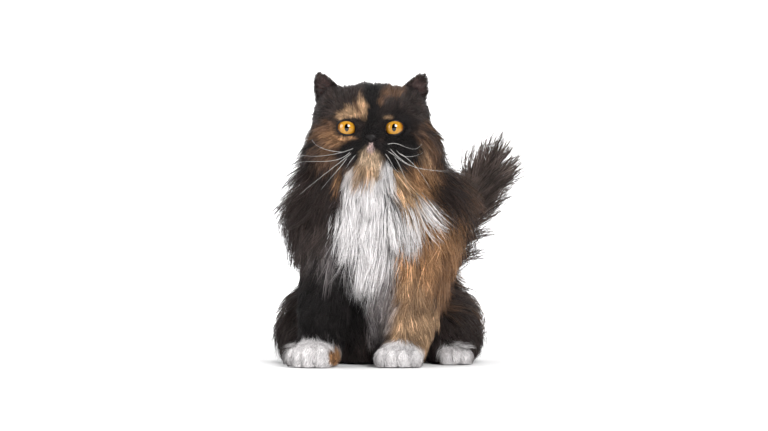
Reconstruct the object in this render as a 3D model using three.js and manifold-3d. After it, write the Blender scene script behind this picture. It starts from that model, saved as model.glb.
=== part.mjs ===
// A seated Persian cat at life size, in millimetres. +X is the cat's left, -Y is where it faces, +Z is up.
import * as THREE from "three";
import { mergeVertices } from "three/addons/utils/BufferGeometryUtils.js";
import Module from "manifold-3d";

const wasm = await Module();
wasm.setup();

// Driving sizes. Places are measured from a point on the floor under the nose.
const GAP = 0.35; // the gap that two neighbouring pieces keep
const EYE_RADIUS = 13.2;
const EYE_LEVEL = 312; // height of the eyes above the floor
const EYE_SPACING = 61.4; // from pupil to pupil
const EYE_DEPTH = -97.8; // how far forward the centres of the eyeballs lie
const FACE_MIDDLE = -2;

// Locks of the coat by place: length, width and thickness, and how far the tips stand off the core.
const COAT = {
  ruff: { length: 82, width: 34, thickness: 8, rise: 27 },
  nape: { length: 68, width: 36, thickness: 8, rise: 13 },
  bib: { length: 86, width: 34, thickness: 8, rise: 18 },
  flank: { length: 82, width: 37, thickness: 8, rise: 19 },
  back: { length: 78, width: 39, thickness: 8, rise: 16 },
  haunch: { length: 68, width: 34, thickness: 7, rise: 16 },
  foreleg: { length: 46, width: 24, thickness: 5, rise: 8 },
  cheek: { length: 50, width: 23, thickness: 5, rise: 12 },
  chin: { length: 36, width: 16, thickness: 5, rise: 5 },
  tail: { length: 52, width: 27, thickness: 6, rise: 19 },
};

// How many directions are tried over each core for a lock's root, and the seed that varies the locks.
const SCATTER = {
  cheek: { count: 92, seed: 5 },
  torso: { count: 106, seed: 11 },
  ruff: { count: 76, seed: 23 },
  haunch: { count: 28, seed: 31 },
  foreleg: { count: 14, seed: 47 },
  plume: { count: 18, seed: 61 },
  tailRoot: { count: 10, seed: 67 },
};

// No lock is rooted nearer than this to a neighbour that would cover it.
const COVERED = { byRuff: 8, byLeg: 6, byHaunch: 14, byTorso: 16, byHead: 2 };

// Finishes of the pieces.
const FINISHES = {
  black: { color: 0x1d1917, roughness: 0.72 },
  darkBrown: { color: 0x3d332e, roughness: 0.78 },
  ginger: { color: 0x9a6a42, roughness: 0.8 },
  white: { color: 0xe9e4e1, roughness: 0.82 },
  iris: { color: 0xd98a1c, roughness: 0.12 },
  noseLeather: { color: 0x1a1413, roughness: 0.45 },
};

// Core of the body: ellipsoids have a centre and radii, limbs run between two points with a radius at each.
const SKULL = {
  dome: { centre: [-1, -60, 316], radii: [70, 50, 48] },
  forehead: { centre: [-1, -86, 336], radii: [44, 25, 27] },
  cheekRight: { centre: [-40, -68, 288], radii: [38, 37, 37] },
  cheekLeft: { centre: [42, -68, 288], radii: [41, 37, 37] },
  bridge: { centre: [-1, -98, 314], radii: [14, 13, 20] },
  earSeatRight: { centre: [-46, -58, 334], radii: [25, 27, 24] },
  earSeatLeft: { centre: [44, -58, 334], radii: [25, 27, 24] },
  jowlRight: { centre: [-36, -92, 268], radii: [16, 19, 13] },
  jowlLeft: { centre: [33, -92, 266], radii: [16, 19, 13] },
  chin: { centre: [-1, -95, 262], radii: [20, 16, 17] },
  whiskerPadRight: { from: [-13, -102, 290], to: [-36, -92, 272], radii: [14, 15], blend: 6 },
  whiskerPadLeft: { from: [11, -102, 290], to: [33, -92, 271], radii: [14, 15], blend: 6 },
};
const NECK = {
  throat: { centre: [0, -30, 246], radii: [74, 52, 42] },
  collar: { centre: [0, -26, 212], radii: [86, 60, 42] },
};
const TRUNK = {
  chest: { centre: [-1, -24, 165], radii: [76, 58, 86] },
  withers: { centre: [38, 24, 206], radii: [76, 60, 48] },
  shoulderRight: { centre: [-54, -22, 160], radii: [34, 38, 52] },
  shoulderLeft: { centre: [66, -18, 168], radii: [38, 40, 52] },
  barrel: { centre: [14, 56, 118], radii: [86, 90, 100] },
  rump: { centre: [16, 104, 76], radii: [86, 76, 74] },
  belly: { centre: [0, 6, 56], radii: [60, 50, 62] },
};
const HAUNCH_RIGHT = {
  thigh: { centre: [-76, 66, 46], radii: [44, 62, 48] },
  knee: { centre: [-84, 26, 28], radii: [30, 34, 32] },
};
const HAUNCH_LEFT = {
  thigh: { centre: [98, 66, 46], radii: [42, 62, 48] },
  knee: { centre: [104, 26, 28], radii: [30, 34, 32] },
};
const FORELEG_RIGHT = { shaft: { from: [-58, -44, 132], to: [-68, -70, 26], radii: [29, 25] } };
const FORELEG_LEFT = { shaft: { from: [74, -40, 136], to: [45, -70, 26], radii: [31, 25] } };
const TAIL_LINE = [
  [28, 150, 44],
  [60, 184, 76],
  [92, 196, 134],
  [119, 195, 186],
  [144, 188, 228],
  [168, 180, 255],
];
const TAIL_RADII = [17, 16, 15, 15, 14, 9];
const TAIL_SPLIT = 0.5; // where the tail is parted, as a share of its length

// Points inside the cores, from which their surfaces are spread.
const MIDDLES = {
  skull: [-1, -80, 300],
  nose: [-1, -111, 300],
  torso: [6, 20, 120],
  neck: [0, -34, 232],
  haunch_right: [-76, 55, 44],
  haunch_left: [98, 55, 44],
  foreleg_right: [-62, -57, 80],
  foreleg_left: [60, -55, 82],
};

// How finely each core is faceted.
const DETAIL = { eye: 2, nose: 2, skull: 7, torso: 5, neck: 3, haunch: 3, foreleg: 3, forepaw: 4, hindpaw: 2 };

// Paws: the middle of the palm, the way the toes point (0 is straight ahead, in degrees), and the size.
const PAWS = {
  forepaw_right: { centre: [-76, -88], heading: -34, length: 64, width: 60, height: 38 },
  forepaw_left: { centre: [35, -88], heading: -4, length: 60, width: 60, height: 33 },
  hindpaw_right: { centre: [-92, -8], heading: -20, length: 66, width: 42, height: 27 },
  hindpaw_left: { centre: [108, -6], heading: 16, length: 66, width: 42, height: 27 },
};

// Ears: the middle of the root, the tip, and the width across the root.
const EARS = {
  ear_right: { root: [-58, -56, 347], tip: [-71, -63, 382], width: 42, side: -1 },
  ear_left: { root: [55, -56, 347], tip: [68, -63, 381], width: 42, side: 1 },
};
const EAR_WALL = 2.8;
const EAR_CUP = 13; // how deep the cup of an ear is

// The nose leather, and the line of the mouth from under the nose to the corner on each side.
const NOSE = {
  leather: { centre: [-1, -111, 302], radii: [8.6, 6.5, 5.6] },
  foot: { centre: [-1, -111, 297], radii: [5, 6, 5] },
};
const NOSTRIL = { across: 4.4, level: 300.5, radius: 2 };
const PHILTRUM = [[-1, 294], [-1, 290], [-1, 286]];
const LIP_LINES = [
  [[-1, 287], [-12, 276], [-24, 266], [-38, 260]],
  [[-1, 287], [10, 276], [21, 264], [33, 257]],
];
const LIP_GROOVE = 1.5;

// Where locks grow on the cheeks, and between which heights on the limbs.
const CHEEK_ZONE = { across: 52, front: -92, back: -24, bottom: 262, top: 320 };
const LIMB_ZONES = { haunch: { bottom: 12, top: 400 }, foreleg: { bottom: 22, top: 112 } };

// Locks that hang from the chin: across, height of the root, and lean to the side
const CHIN_LOCKS = [
  [-14, 258, -0.22],
  [-1, 254, 0.04],
  [12, 258, 0.2],
];

// Vector helpers on plain arrays of three numbers.
const add = (a, b, k = 1) => [a[0] + b[0] * k, a[1] + b[1] * k, a[2] + b[2] * k];
const dot = (a, b) => a[0] * b[0] + a[1] * b[1] + a[2] * b[2];
const unit = (a) => {
  const size = Math.hypot(...a) || 1;
  return a.map((v) => v / size);
};
const cross = (a, b) => [
  a[1] * b[2] - a[2] * b[1],
  a[2] * b[0] - a[0] * b[2],
  a[0] * b[1] - a[1] * b[0],
];
const mix = (a, b, t) => a + (b - a) * t;
const clamp = (v, low, high) => Math.min(high, Math.max(low, v));

// A seeded source of even random numbers from 0 to 1.
function dice(seed) {
  let state = seed >>> 0;
  return () => {
    state = (state + 0x6d2b79f5) >>> 0;
    let t = Math.imul(state ^ (state >>> 15), 1 | state);
    t = (t + Math.imul(t ^ (t >>> 7), 61 | t)) ^ t;
    return ((t ^ (t >>> 14)) >>> 0) / 4294967296;
  };
}

// Distance from a point to one form of the body, negative inside it.
function formDistance(p, form) {
  if (form.from) {
    const along = add(form.to, form.from, -1);
    const t = clamp(dot(add(p, form.from, -1), along) / dot(along, along), 0, 1);
    const away = add(p, add(form.from, along, t), -1);
    return Math.hypot(...away) - mix(form.radii[0], form.radii[1], t);
  }
  const away = add(p, form.centre, -1);
  const near = Math.hypot(away[0] / form.radii[0], away[1] / form.radii[1], away[2] / form.radii[2]);
  const slope = Math.hypot(
    away[0] / form.radii[0] ** 2,
    away[1] / form.radii[1] ** 2,
    away[2] / form.radii[2] ** 2,
  );
  return slope < 1e-9 ? -Math.min(...form.radii) : (near * (near - 1)) / slope;
}

// The forms melted into one smooth surface; blend is how far each melts into the ones before it.
function melt(forms, usualBlend) {
  return (p) => {
    let d = 1e9;
    for (const form of Object.values(forms)) {
      const e = formDistance(p, form);
      const blend = form.blend ?? usualBlend;
      const h = clamp(0.5 + (0.5 * (e - d)) / blend, 0, 1);
      d = mix(e, d, h) - blend * h * (1 - h);
    }
    return d;
  };
}

// The outward direction of a surface at a point.
function outward(field, p, step = 0.5) {
  return unit([
    field([p[0] + step, p[1], p[2]]) - field([p[0] - step, p[1], p[2]]),
    field([p[0], p[1] + step, p[2]]) - field([p[0], p[1] - step, p[2]]),
    field([p[0], p[1], p[2] + step]) - field([p[0], p[1], p[2] - step]),
  ]);
}

// The point where a ray from inside a surface leaves it.
function reach(field, from, direction) {
  let t = 0;
  for (let i = 0; i < 80; i++) {
    const d = field(add(from, direction, t));
    t -= d * 0.8;
    if (Math.abs(d) < 0.005) break;
  }
  return add(from, direction, t);
}

// Closed surfaces as manifold-3d solids, and back.
function solidOf(geometry) {
  const bare = geometry.clone();
  bare.deleteAttribute("normal");
  bare.deleteAttribute("uv");
  const merged = mergeVertices(bare, 1e-4);
  return new wasm.Manifold(
    new wasm.Mesh({
      numProp: 3,
      vertProperties: new Float32Array(merged.attributes.position.array),
      triVerts: new Uint32Array(merged.index.array),
    }),
  );
}
function geometryOf(solid) {
  const mesh = solid.getMesh();
  const geometry = new THREE.BufferGeometry();
  geometry.setAttribute("position", new THREE.BufferAttribute(mesh.vertProperties, 3));
  geometry.setIndex(new THREE.BufferAttribute(mesh.triVerts, 1));
  return geometry;
}
function largestOf(solid) {
  return solid.decompose().sort((a, b) => b.volume() - a.volume())[0];
}

// A ball of triangles spread from a centre until it lies on the surface. Stretch packs them along an axis.
function wrap(field, centre, detail, stretch = [1, 1, 1]) {
  const ball = new THREE.IcosahedronGeometry(1, detail);
  const position = ball.attributes.position;
  for (let i = 0; i < position.count; i++) {
    const way = unit([
      position.getX(i) * stretch[0],
      position.getY(i) * stretch[1],
      position.getZ(i) * stretch[2],
    ]);
    position.setXYZ(i, ...reach(field, centre, way));
  }
  return solidOf(ball);
}
const swollen = (field, by) => (p) => field(p) - by;

// The half space under the floor, which everything that rests on it is cut by.
const FLOOR = solidOf(new THREE.BoxGeometry(2000, 2000, 200).translate(0, 0, -100));

// One lock of the coat: flat and tapered, rooted in the core, then lying along the coat and rising to its tip.
const LOCK_STATIONS = [0, 1 / 3, 17 / 24];
const LOCK_WIDTHS = [0.6, 1, 0.62];
const LOCK_SINK = 7;
const LOCK_STEPS = 24;
const FLOOR_CLEARANCE = 3.4; // lowest middle line of a lock, so that its underside clears the floor
const ROOT_SHARE = 0.2; // the share of a lock in which it comes out of the core
const lockHeight = (t, rise) =>
  t < ROOT_SHARE
    ? mix(-LOCK_SINK, 0.35 * rise, t / ROOT_SHARE)
    : mix(0.35, 1, (t - ROOT_SHARE) / (1 - ROOT_SHARE)) * rise;

// The middle line of a lock that lies along a surface, and bends clear of its neighbours and the floor
function lieOnSurface({ field, lie, root, length, rise, sway = 0, clearOf = [], margin = 2 }) {
  const line = [];
  let p = root;
  for (let i = 0; i <= LOCK_STEPS; i++) {
    const t = i / LOCK_STEPS;
    let up = outward(field, p);
    const flow = lie(p);
    const bent = add(flow, cross(up, flow), sway * t);
    const way = unit(add(bent, up, -dot(bent, up)));
    p = add(p, way, i ? length / LOCK_STEPS : 0);
    up = outward(field, p);
    p = add(p, up, lockHeight(t, rise) - field(p));
    for (const other of t > ROOT_SHARE ? clearOf : []) {
      const short = margin + t * 0.4 * rise - other(p);
      if (short > 0) p = add(p, outward(other, p), short);
    }
    if (t > ROOT_SHARE * 0.8) p = [p[0], p[1], Math.max(p[2], FLOOR_CLEARANCE)];
    line.push({ p, up, way });
  }
  return line;
}

// The middle line of a lock that leaves the surface and hangs in a straight line
function hangFrom(field, root, way, { length, rise }) {
  const up = unit(add(outward(field, root), way, -dot(outward(field, root), way)));
  return Array.from({ length: LOCK_STEPS + 1 }, (_, i) => {
    const t = i / LOCK_STEPS;
    return { p: add(add(root, way, t * length), up, lockHeight(t, rise)), up, way };
  });
}

// The flat three-cornered section of a lock, with a low ridge along its top
function lockSection({ p, up, way }, half, below, above) {
  const side = unit(cross(way, up));
  const low = add(p, up, -below);
  return [add(low, side, -half), add(low, side, half), add(p, up, above)];
}

// A three-sided tapering body along a lock's middle line; grow makes it larger, to cut neighbours clear
const LOCK_GROWTH = { aside: 4.6, below: 1, above: 1.6, ahead: 2 };
function lockSolid({ line, width, thickness }, grow = 0) {
  const grown = (size, way) => size + grow * LOCK_GROWTH[way];
  const rings = LOCK_STATIONS.map((t, i) => {
    const half = (width / 2) * LOCK_WIDTHS[i];
    const depth = thickness * LOCK_WIDTHS[i];
    const station = line[Math.round(t * LOCK_STEPS)];
    return lockSection(station, grown(half, "aside"), grown(0.3 * depth, "below"), grown(0.7 * depth, "above"));
  });
  const end = line.at(-1);
  const tip = { ...end, p: add(end.p, end.way, grown(0, "ahead")) };
  if (grow) return loft([...rings, lockSection(tip, grown(0, "aside"), grown(0, "below"), grown(0, "above"))]);

  const faces = [0, 1, 2];
  const last = (rings.length - 1) * 3;
  for (let k = 0; k < last; k++) {
    const next = k % 3 === 2 ? k - 2 : k + 1;
    faces.push(k, k + 3, next, next, k + 3, next + 3);
  }
  for (let k = 0; k < 3; k++) faces.push(last + k, last + 3, last + ((k + 1) % 3));
  const geometry = new THREE.BufferGeometry();
  geometry.setAttribute("position", new THREE.Float32BufferAttribute([...rings.flat(2), ...tip.p], 3));
  geometry.setIndex(faces);
  return facingOut(geometry);
}

// Locks rooted evenly over a surface, on a spiral of directions from its middle. The zone chooses each lock.
const GOLDEN_TURN = Math.PI * (3 - Math.sqrt(5));
function scatterLocks(field, centre, { count, seed }, zone) {
  const roll = dice(seed);
  const locks = [];
  for (let i = 0; i < count; i++) {
    const level = 1 - (2 * (i + 0.5)) / count;
    const ring = Math.sqrt(1 - level * level);
    const turn = i * GOLDEN_TURN + (roll() - 0.5) * 0.15;
    const root = reach(field, centre, [ring * Math.cos(turn), ring * Math.sin(turn), level]);
    const [longer, higher, sway] = [0.85 + 0.3 * roll(), 0.8 + 0.4 * roll(), (roll() - 0.5) * 0.8];
    const found = zone(root, outward(field, root));
    if (!found) continue;
    const { kind, ...rest } = found;
    const size = { ...COAT[kind], length: COAT[kind].length * longer, rise: COAT[kind].rise * higher };
    locks.push({ ...size, line: lieOnSurface({ field, root, sway, ...size, ...rest }) });
  }
  return locks;
}

// A core and its locks as one closed body
function furred(core, locks, grow = 0) {
  return largestOf(wasm.Manifold.union([core, ...locks.map((lock) => lockSolid(lock, grow))]));
}

const fields = {
  head: melt(SKULL, 14),
  neck: melt(NECK, 20),
  torso: melt(TRUNK, 26),
  shoulders: melt({ ...NECK, ...TRUNK }, 26),
  mane: melt({ ...SKULL, ...NECK, ...TRUNK }, 24),
  haunch_right: melt(HAUNCH_RIGHT, 20),
  haunch_left: melt(HAUNCH_LEFT, 20),
  foreleg_right: melt(FORELEG_RIGHT, 10),
  foreleg_left: melt(FORELEG_LEFT, 10),
};

// The way that the coat lies at a point, before it is laid flat on the surface
const lies = {
  cheek: (p) => unit([Math.sign(p[0] - FACE_MIDDLE) * 0.3, 0.2, -1]),
  ruff: (p) => unit([p[0] / 105, (p[1] + 30) / 110, -1]),
  torso: (p) => unit([p[0] / 400, p[1] > 20 ? 0.7 : 0.05, -1]),
  haunch: (p) => unit([Math.sign(p[0] - 10) * 0.35, 0.3, -1]),
  foreleg: () => unit([0, 0.35, -1]),
};

// Eyeballs
const eyeCentre = (side) => [FACE_MIDDLE + (side * EYE_SPACING) / 2, EYE_DEPTH, EYE_LEVEL];
const ballAt = (centre, radius, detail) =>
  solidOf(new THREE.IcosahedronGeometry(radius, detail).translate(...centre));

// The ring of lid round an eye, which lies on the face and is drawn down at its inner corner
const LID = { halfWidth: 11, halfHeight: 9.6, roll: 1.8, proud: 0.5 };
function lidRing(side) {
  const [x, , z] = eyeCentre(side);
  const ring = new THREE.TorusGeometry(1, 0.01, 4, 14);
  const position = ring.attributes.position;
  for (let i = 0; i < position.count; i++) {
    const [u, v, w] = [position.getX(i), position.getY(i), position.getZ(i)];
    const turn = Math.atan2(v, u);
    const bulge = (Math.hypot(u, v) - 1) * 100 * LID.roll;
    const corner = Math.max(0, -Math.cos(turn) * side) ** 6;
    const across = x + Math.cos(turn) * LID.halfWidth - side * corner * 2.6;
    const level = z + Math.sin(turn) * LID.halfHeight - corner * 2.4;
    const seat = onFace(across, level);
    position.setXYZ(
      i,
      across + Math.cos(turn) * bulge,
      seat[1] - LID.proud - w * 100 * LID.roll,
      level + Math.sin(turn) * bulge,
    );
  }
  return facingOut(ring);
}

// A closed geometry as a solid, turned round where its faces point in
function facingOut(geometry) {
  const solid = solidOf(geometry);
  if (solid.volume() > 0) return solid;
  const index = geometry.index.array;
  for (let i = 0; i < index.length; i += 3) [index[i + 1], index[i + 2]] = [index[i + 2], index[i + 1]];
  return solidOf(geometry);
}

// The point of the face at a place across and a height
const onFace = (x, z) => reach(fields.head, [x, -75, z], [0, -1, 0]);

// A thin round rod along points, which cuts the line of the mouth
function groove(points) {
  const path = new THREE.CatmullRomCurve3(points.map((p) => new THREE.Vector3(...p)));
  const section = new THREE.Shape();
  section.absarc(0, 0, LIP_GROOVE, 0, Math.PI * 2);
  return facingOut(
    mergeVertices(
      new THREE.ExtrudeGeometry(section, { steps: 5, curveSegments: 3, bevelEnabled: false, extrudePath: path })
        .deleteAttribute("normal")
        .deleteAttribute("uv"),
      1e-4,
    ),
  );
}

// A closed surface through rings of points, each ring the same length, with its two ends capped
function loft(rings) {
  const size = rings[0].length;
  const middle = (ring) => ring.reduce((sum, p) => add(sum, p, 1 / ring.length), [0, 0, 0]);
  const corners = [...rings.flat(), middle(rings[0]), middle(rings.at(-1))];
  const faces = [];
  for (let r = 0; r < rings.length - 1; r++)
    for (let k = 0; k < size; k++) {
      const a = r * size + k;
      const b = r * size + ((k + 1) % size);
      faces.push(a, b, a + size, b, b + size, a + size);
    }
  const top = (rings.length - 1) * size;
  for (let k = 0; k < size; k++) {
    const next = (k + 1) % size;
    faces.push(corners.length - 2, next, k, corners.length - 1, top + k, top + next);
  }
  const geometry = new THREE.BufferGeometry();
  geometry.setAttribute("position", new THREE.Float32BufferAttribute(corners.flat(), 3));
  geometry.setIndex(faces);
  return facingOut(geometry);
}

// An ear: a cupped leaf with a rounded tip, open to the front and a little to the side
function earSolid({ root, tip, width, side }) {
  const stations = 7;
  const across = 4;
  const rise = add(tip, root, -1);
  const up = unit(rise);
  const front = unit([side * 0.3, -1, 0.1]);
  const sideways = unit(cross(up, front));
  const rings = [];
  for (let i = 0; i < stations; i++) {
    const v = mix(-0.24, 0.975, i / (stations - 1));
    const half = (width / 2) * (v < 0 ? 1 : Math.sqrt(1 - v ** 1.9) * mix(1, 0.72, v));
    const spine = add(root, rise, v);
    const leaf = (u, lift) => {
      const cup = EAR_CUP * (1 - Math.max(0, v)) * (u * u - 1) * (half / (width / 2)) - 0.5;
      return add(add(spine, sideways, u * half), front, cup + lift);
    };
    const ring = [];
    for (let k = -across; k <= across; k++) ring.push(leaf(k / across, EAR_WALL * 0.5));
    for (let k = across; k >= -across; k--) ring.push(leaf((k / across) * 0.97, -EAR_WALL * 0.5));
    rings.push(ring);
  }
  return loft(rings);
}

// A paw in its own frame, toes to the front, then turned and set on the floor
function pawField({ centre, heading, length, width, height }) {
  const palm = { centre: [0, 0.1 * length, 0.4 * height], radii: [0.43 * width, 0.42 * length, 0.58 * height] };
  const toes = [-1.5, -0.5, 0.5, 1.5].map((k) => ({
    centre: [k * 0.245 * width, (-0.3 + 0.05 * k * k) * length, 0.32 * height],
    radii: [0.145 * width, 0.2 * length, 0.4 * height],
  }));
  const field = melt({ palm, ...toes }, 3);
  const turn = THREE.MathUtils.degToRad(heading);
  const [c, s] = [Math.cos(turn), Math.sin(turn)];
  return (p) => {
    const [x, y] = [p[0] - centre[0], p[1] - centre[1]];
    return field([c * x + s * y, -s * x + c * y, p[2]]);
  };
}
function pawSolid(name, grow = 0) {
  const { centre, height } = PAWS[name];
  const detail = DETAIL[name.split("_")[0]];
  const whole = wrap(swollen(pawField(PAWS[name]), grow), [...centre, 0.35 * height], detail);
  return grow ? whole : whole.subtract(FLOOR);
}

// The tail's line, its frame and its radius at a share of its length, and its core between two shares
const tailCurve = new THREE.CatmullRomCurve3(TAIL_LINE.map((p) => new THREE.Vector3(...p)));
function tailFrame(s) {
  const along = tailCurve.getTangent(s).toArray();
  const sideways = unit(cross(along, [0, 1, 0]));
  return { middle: tailCurve.getPoint(s).toArray(), along, sideways, upward: cross(sideways, along) };
}
function tailRadius(s) {
  const at = s * (TAIL_RADII.length - 1);
  const low = Math.min(Math.floor(at), TAIL_RADII.length - 2);
  return mix(TAIL_RADII[low], TAIL_RADII[low + 1], at - low);
}
function tailCore(from, to, grow = 0) {
  const stations = 7;
  const sides = 10;
  const rings = [];
  for (let i = 0; i <= stations; i++) {
    const s = mix(from, to, i / stations);
    const radius = tailRadius(s) + grow;
    const { middle, sideways, upward } = tailFrame(s);
    rings.push(
      Array.from({ length: sides }, (_, k) => {
        const turn = (k / sides) * Math.PI * 2;
        return add(add(middle, sideways, Math.cos(turn) * radius), upward, Math.sin(turn) * radius);
      }),
    );
  }
  return loft(rings);
}

// Locks splayed round the tail between two shares of its length, pointing along it
function tailLocks(from, to, { count, seed }) {
  const roll = dice(seed);
  const { length, rise, width, thickness } = COAT.tail;
  return Array.from({ length: count }, (_, i) => {
    const s = mix(from, to, (i + 0.5) / count);
    const { middle, along, sideways, upward } = tailFrame(s);
    const turn = i * GOLDEN_TURN + roll() * 0.3;
    const out = add(
      sideways.map((v) => v * Math.cos(turn)),
      upward,
      Math.sin(turn),
    );
    const [longer, wider] = [0.85 + 0.3 * roll(), 0.8 + 0.4 * roll()];
    const way = unit(add(along, out, rise / length));
    const line = Array.from({ length: LOCK_STEPS + 1 }, (__, k) => {
      const t = k / LOCK_STEPS;
      const p = add(add(middle, along, t * length * longer), out, tailRadius(s) + lockHeight(t, rise * wider));
      return { p, up: out, way };
    });
    return { width, thickness, line };
  });
}

const cat = new THREE.Group();
function place(name, solid, finish) {
  const mesh = new THREE.Mesh(geometryOf(largestOf(solid)), new THREE.MeshStandardMaterial(FINISHES[finish]));
  mesh.name = name;
  cat.add(mesh);
}

// Eyes and nose
const eyes = { eye_right: eyeCentre(-1), eye_left: eyeCentre(1) };
for (const [name, centre] of Object.entries(eyes)) place(name, ballAt(centre, EYE_RADIUS, DETAIL.eye), "iris");
const noseField = melt(NOSE, 4);
const noseAt = (grow) => wrap(swollen(noseField, grow), MIDDLES.nose, DETAIL.nose);
const nostrils = [-1, 1].map((side) => {
  const x = NOSE.leather.centre[0] + side * NOSTRIL.across;
  const front = reach(noseField, [x, NOSE.leather.centre[1], NOSTRIL.level], [0, -1, 0]);
  return ballAt(front, NOSTRIL.radius, 0);
});
place("nose", noseAt(0).subtract(wasm.Manifold.union(nostrils)), "noseLeather");

// Head: skull, lids, and the locks of cheeks and chin, with sockets, nose seat and the line of the mouth cut in
const cheekLocks = scatterLocks(fields.head, MIDDLES.skull, SCATTER.cheek, ([x, y, z]) => {
  const atSide = Math.abs(x - FACE_MIDDLE) > CHEEK_ZONE.across && y > CHEEK_ZONE.front && y < CHEEK_ZONE.back;
  if (!atSide || z > CHEEK_ZONE.top || z < CHEEK_ZONE.bottom) return null;
  return { kind: "cheek", lie: lies.cheek, field: fields.mane };
});
const chinLocks = CHIN_LOCKS.map(([x, z, lean]) => {
  const root = reach(fields.head, [x, SKULL.chin.centre[1], z], [0, -1, 0]);
  return { ...COAT.chin, line: hangFrom(fields.head, root, unit([lean, -0.12, -1]), COAT.chin) };
});
const faceLocks = [...cheekLocks, ...chinLocks];
const mouth = [
  groove(PHILTRUM.map(([x, z]) => onFace(x, z))),
  ...LIP_LINES.map((line) => groove(line.map(([x, z]) => onFace(x, z)))),
];
const skull = wasm.Manifold.union([wrap(fields.head, MIDDLES.skull, DETAIL.skull), lidRing(-1), lidRing(1)]);
const faceCuts = wasm.Manifold.union([
  ...Object.values(eyes).map((centre) => ballAt(centre, EYE_RADIUS + GAP, DETAIL.eye)),
  noseAt(GAP),
  ...mouth,
]);
place("head", furred(skull, faceLocks).subtract(faceCuts), "black");
const headGrown = furred(wrap(swollen(fields.head, GAP * 1.4), MIDDLES.skull, DETAIL.skull), faceLocks, GAP);
for (const [name, ear] of Object.entries(EARS)) place(name, earSolid(ear).subtract(headGrown), "black");

// Torso: a long bib in front, long flanks and a shorter back, with no locks where a neighbour covers it
const legFields = [fields.foreleg_right, fields.foreleg_left];
const haunchFields = [fields.haunch_right, fields.haunch_left];
const torsoLocks = scatterLocks(fields.torso, MIDDLES.torso, SCATTER.torso, (root, up) => {
  const [x, y, z] = root;
  const covered =
    fields.neck(root) < COVERED.byRuff ||
    legFields.some((leg) => leg(root) < COVERED.byLeg) ||
    haunchFields.some((haunch) => haunch(root) < COVERED.byHaunch);
  if (covered || up[2] < -0.35 || z < 20) return null;
  const kind = y < -30 && Math.abs(x) < 60 ? "bib" : z > 120 || y > 120 ? "back" : "flank";
  return { kind, lie: lies.torso, clearOf: [...legFields, ...haunchFields], margin: 6 };
});
const torso = furred(wrap(fields.torso, MIDDLES.torso, DETAIL.torso), torsoLocks);
place("torso", torso.subtract(FLOOR), "white");
const torsoGrown = furred(wrap(swollen(fields.torso, GAP * 1.5), MIDDLES.torso, DETAIL.torso), torsoLocks, GAP);

// Ruff: the longest locks, all round the neck, flaring out over the shoulders
const ruffLocks = scatterLocks(fields.neck, MIDDLES.neck, SCATTER.ruff, (root, up) => {
  const covered = fields.head(root) < COVERED.byHead || fields.torso(root) < -COVERED.byHead;
  if (covered || up[2] < -0.75) return null;
  const kind = root[1] > 0 ? "nape" : "ruff";
  return { kind, field: fields.shoulders, lie: lies.ruff, clearOf: [fields.head], margin: 2 };
});
const ruff = furred(wrap(fields.neck, MIDDLES.neck, DETAIL.neck), ruffLocks);
place("neck_ruff", ruff.subtract(headGrown).subtract(torsoGrown), "darkBrown");

// Haunches and forelegs, cut clear of the torso, their paws and the floor
const limbs = [
  { name: "haunch_right", kind: "haunch", paw: "hindpaw_right", finish: "black", stretch: [1, 1, 1] },
  { name: "haunch_left", kind: "haunch", paw: "hindpaw_left", finish: "black", stretch: [1, 1, 1] },
  { name: "foreleg_right", kind: "foreleg", paw: "forepaw_right", finish: "black", stretch: [1, 1, 2] },
  { name: "foreleg_left", kind: "foreleg", paw: "forepaw_left", finish: "ginger", stretch: [1, 1, 2] },
];
for (const { name, kind, paw, finish, stretch } of limbs) {
  const field = fields[name];
  const locks = scatterLocks(field, MIDDLES[name], SCATTER[kind], (root, up) => {
    const { bottom, top } = LIMB_ZONES[kind];
    if (fields.torso(root) < COVERED.byTorso || up[2] < -0.4 || root[2] < bottom || root[2] > top) return null;
    return { kind, lie: lies[kind], clearOf: [pawField(PAWS[paw])], margin: 1.5 };
  });
  const body = furred(wrap(field, MIDDLES[name], DETAIL[kind], stretch), locks);
  place(name, body.subtract(torsoGrown).subtract(pawSolid(paw, GAP)).subtract(FLOOR), finish);
}
for (const name of Object.keys(PAWS)) place(name, pawSolid(name).subtract(torsoGrown), "white");

// Tail: a root and a plume, with locks splayed round both
const plumeLocks = tailLocks(TAIL_SPLIT + 0.06, 0.98, SCATTER.plume);
const rootLocks = tailLocks(0.14, TAIL_SPLIT - 0.04, SCATTER.tailRoot);
const plumeGrown = furred(tailCore(TAIL_SPLIT - 0.003, 1, GAP), plumeLocks, GAP);
const tailRoot = furred(tailCore(0, TAIL_SPLIT), rootLocks);
place("tail_base", tailRoot.subtract(torsoGrown).subtract(plumeGrown), "darkBrown");
place("tail_plume", furred(tailCore(TAIL_SPLIT, 1), plumeLocks).subtract(torsoGrown), "darkBrown");

// The origin goes to the middle of the floor face of the whole cat's box
const middle = new THREE.Box3().setFromObject(cat).getCenter(new THREE.Vector3());
cat.position.set(-middle.x, -middle.y, 0);

export default cat;
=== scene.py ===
"""A seated Persian cat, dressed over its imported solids: skin, coat, eyes, nose, lips and whiskers.

Sizes and places of the body are in millimetres, measured from a point on the floor under the nose,
with +X to the cat's left, -Y where it faces and +Z up. They become metres when a mesh is made.
"""

import logging
import math
from dataclasses import dataclass
from enum import Enum
from typing import Callable, Optional, Sequence

import bpy
import numpy as np
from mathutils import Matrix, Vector
from mathutils.kdtree import KDTree


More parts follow.
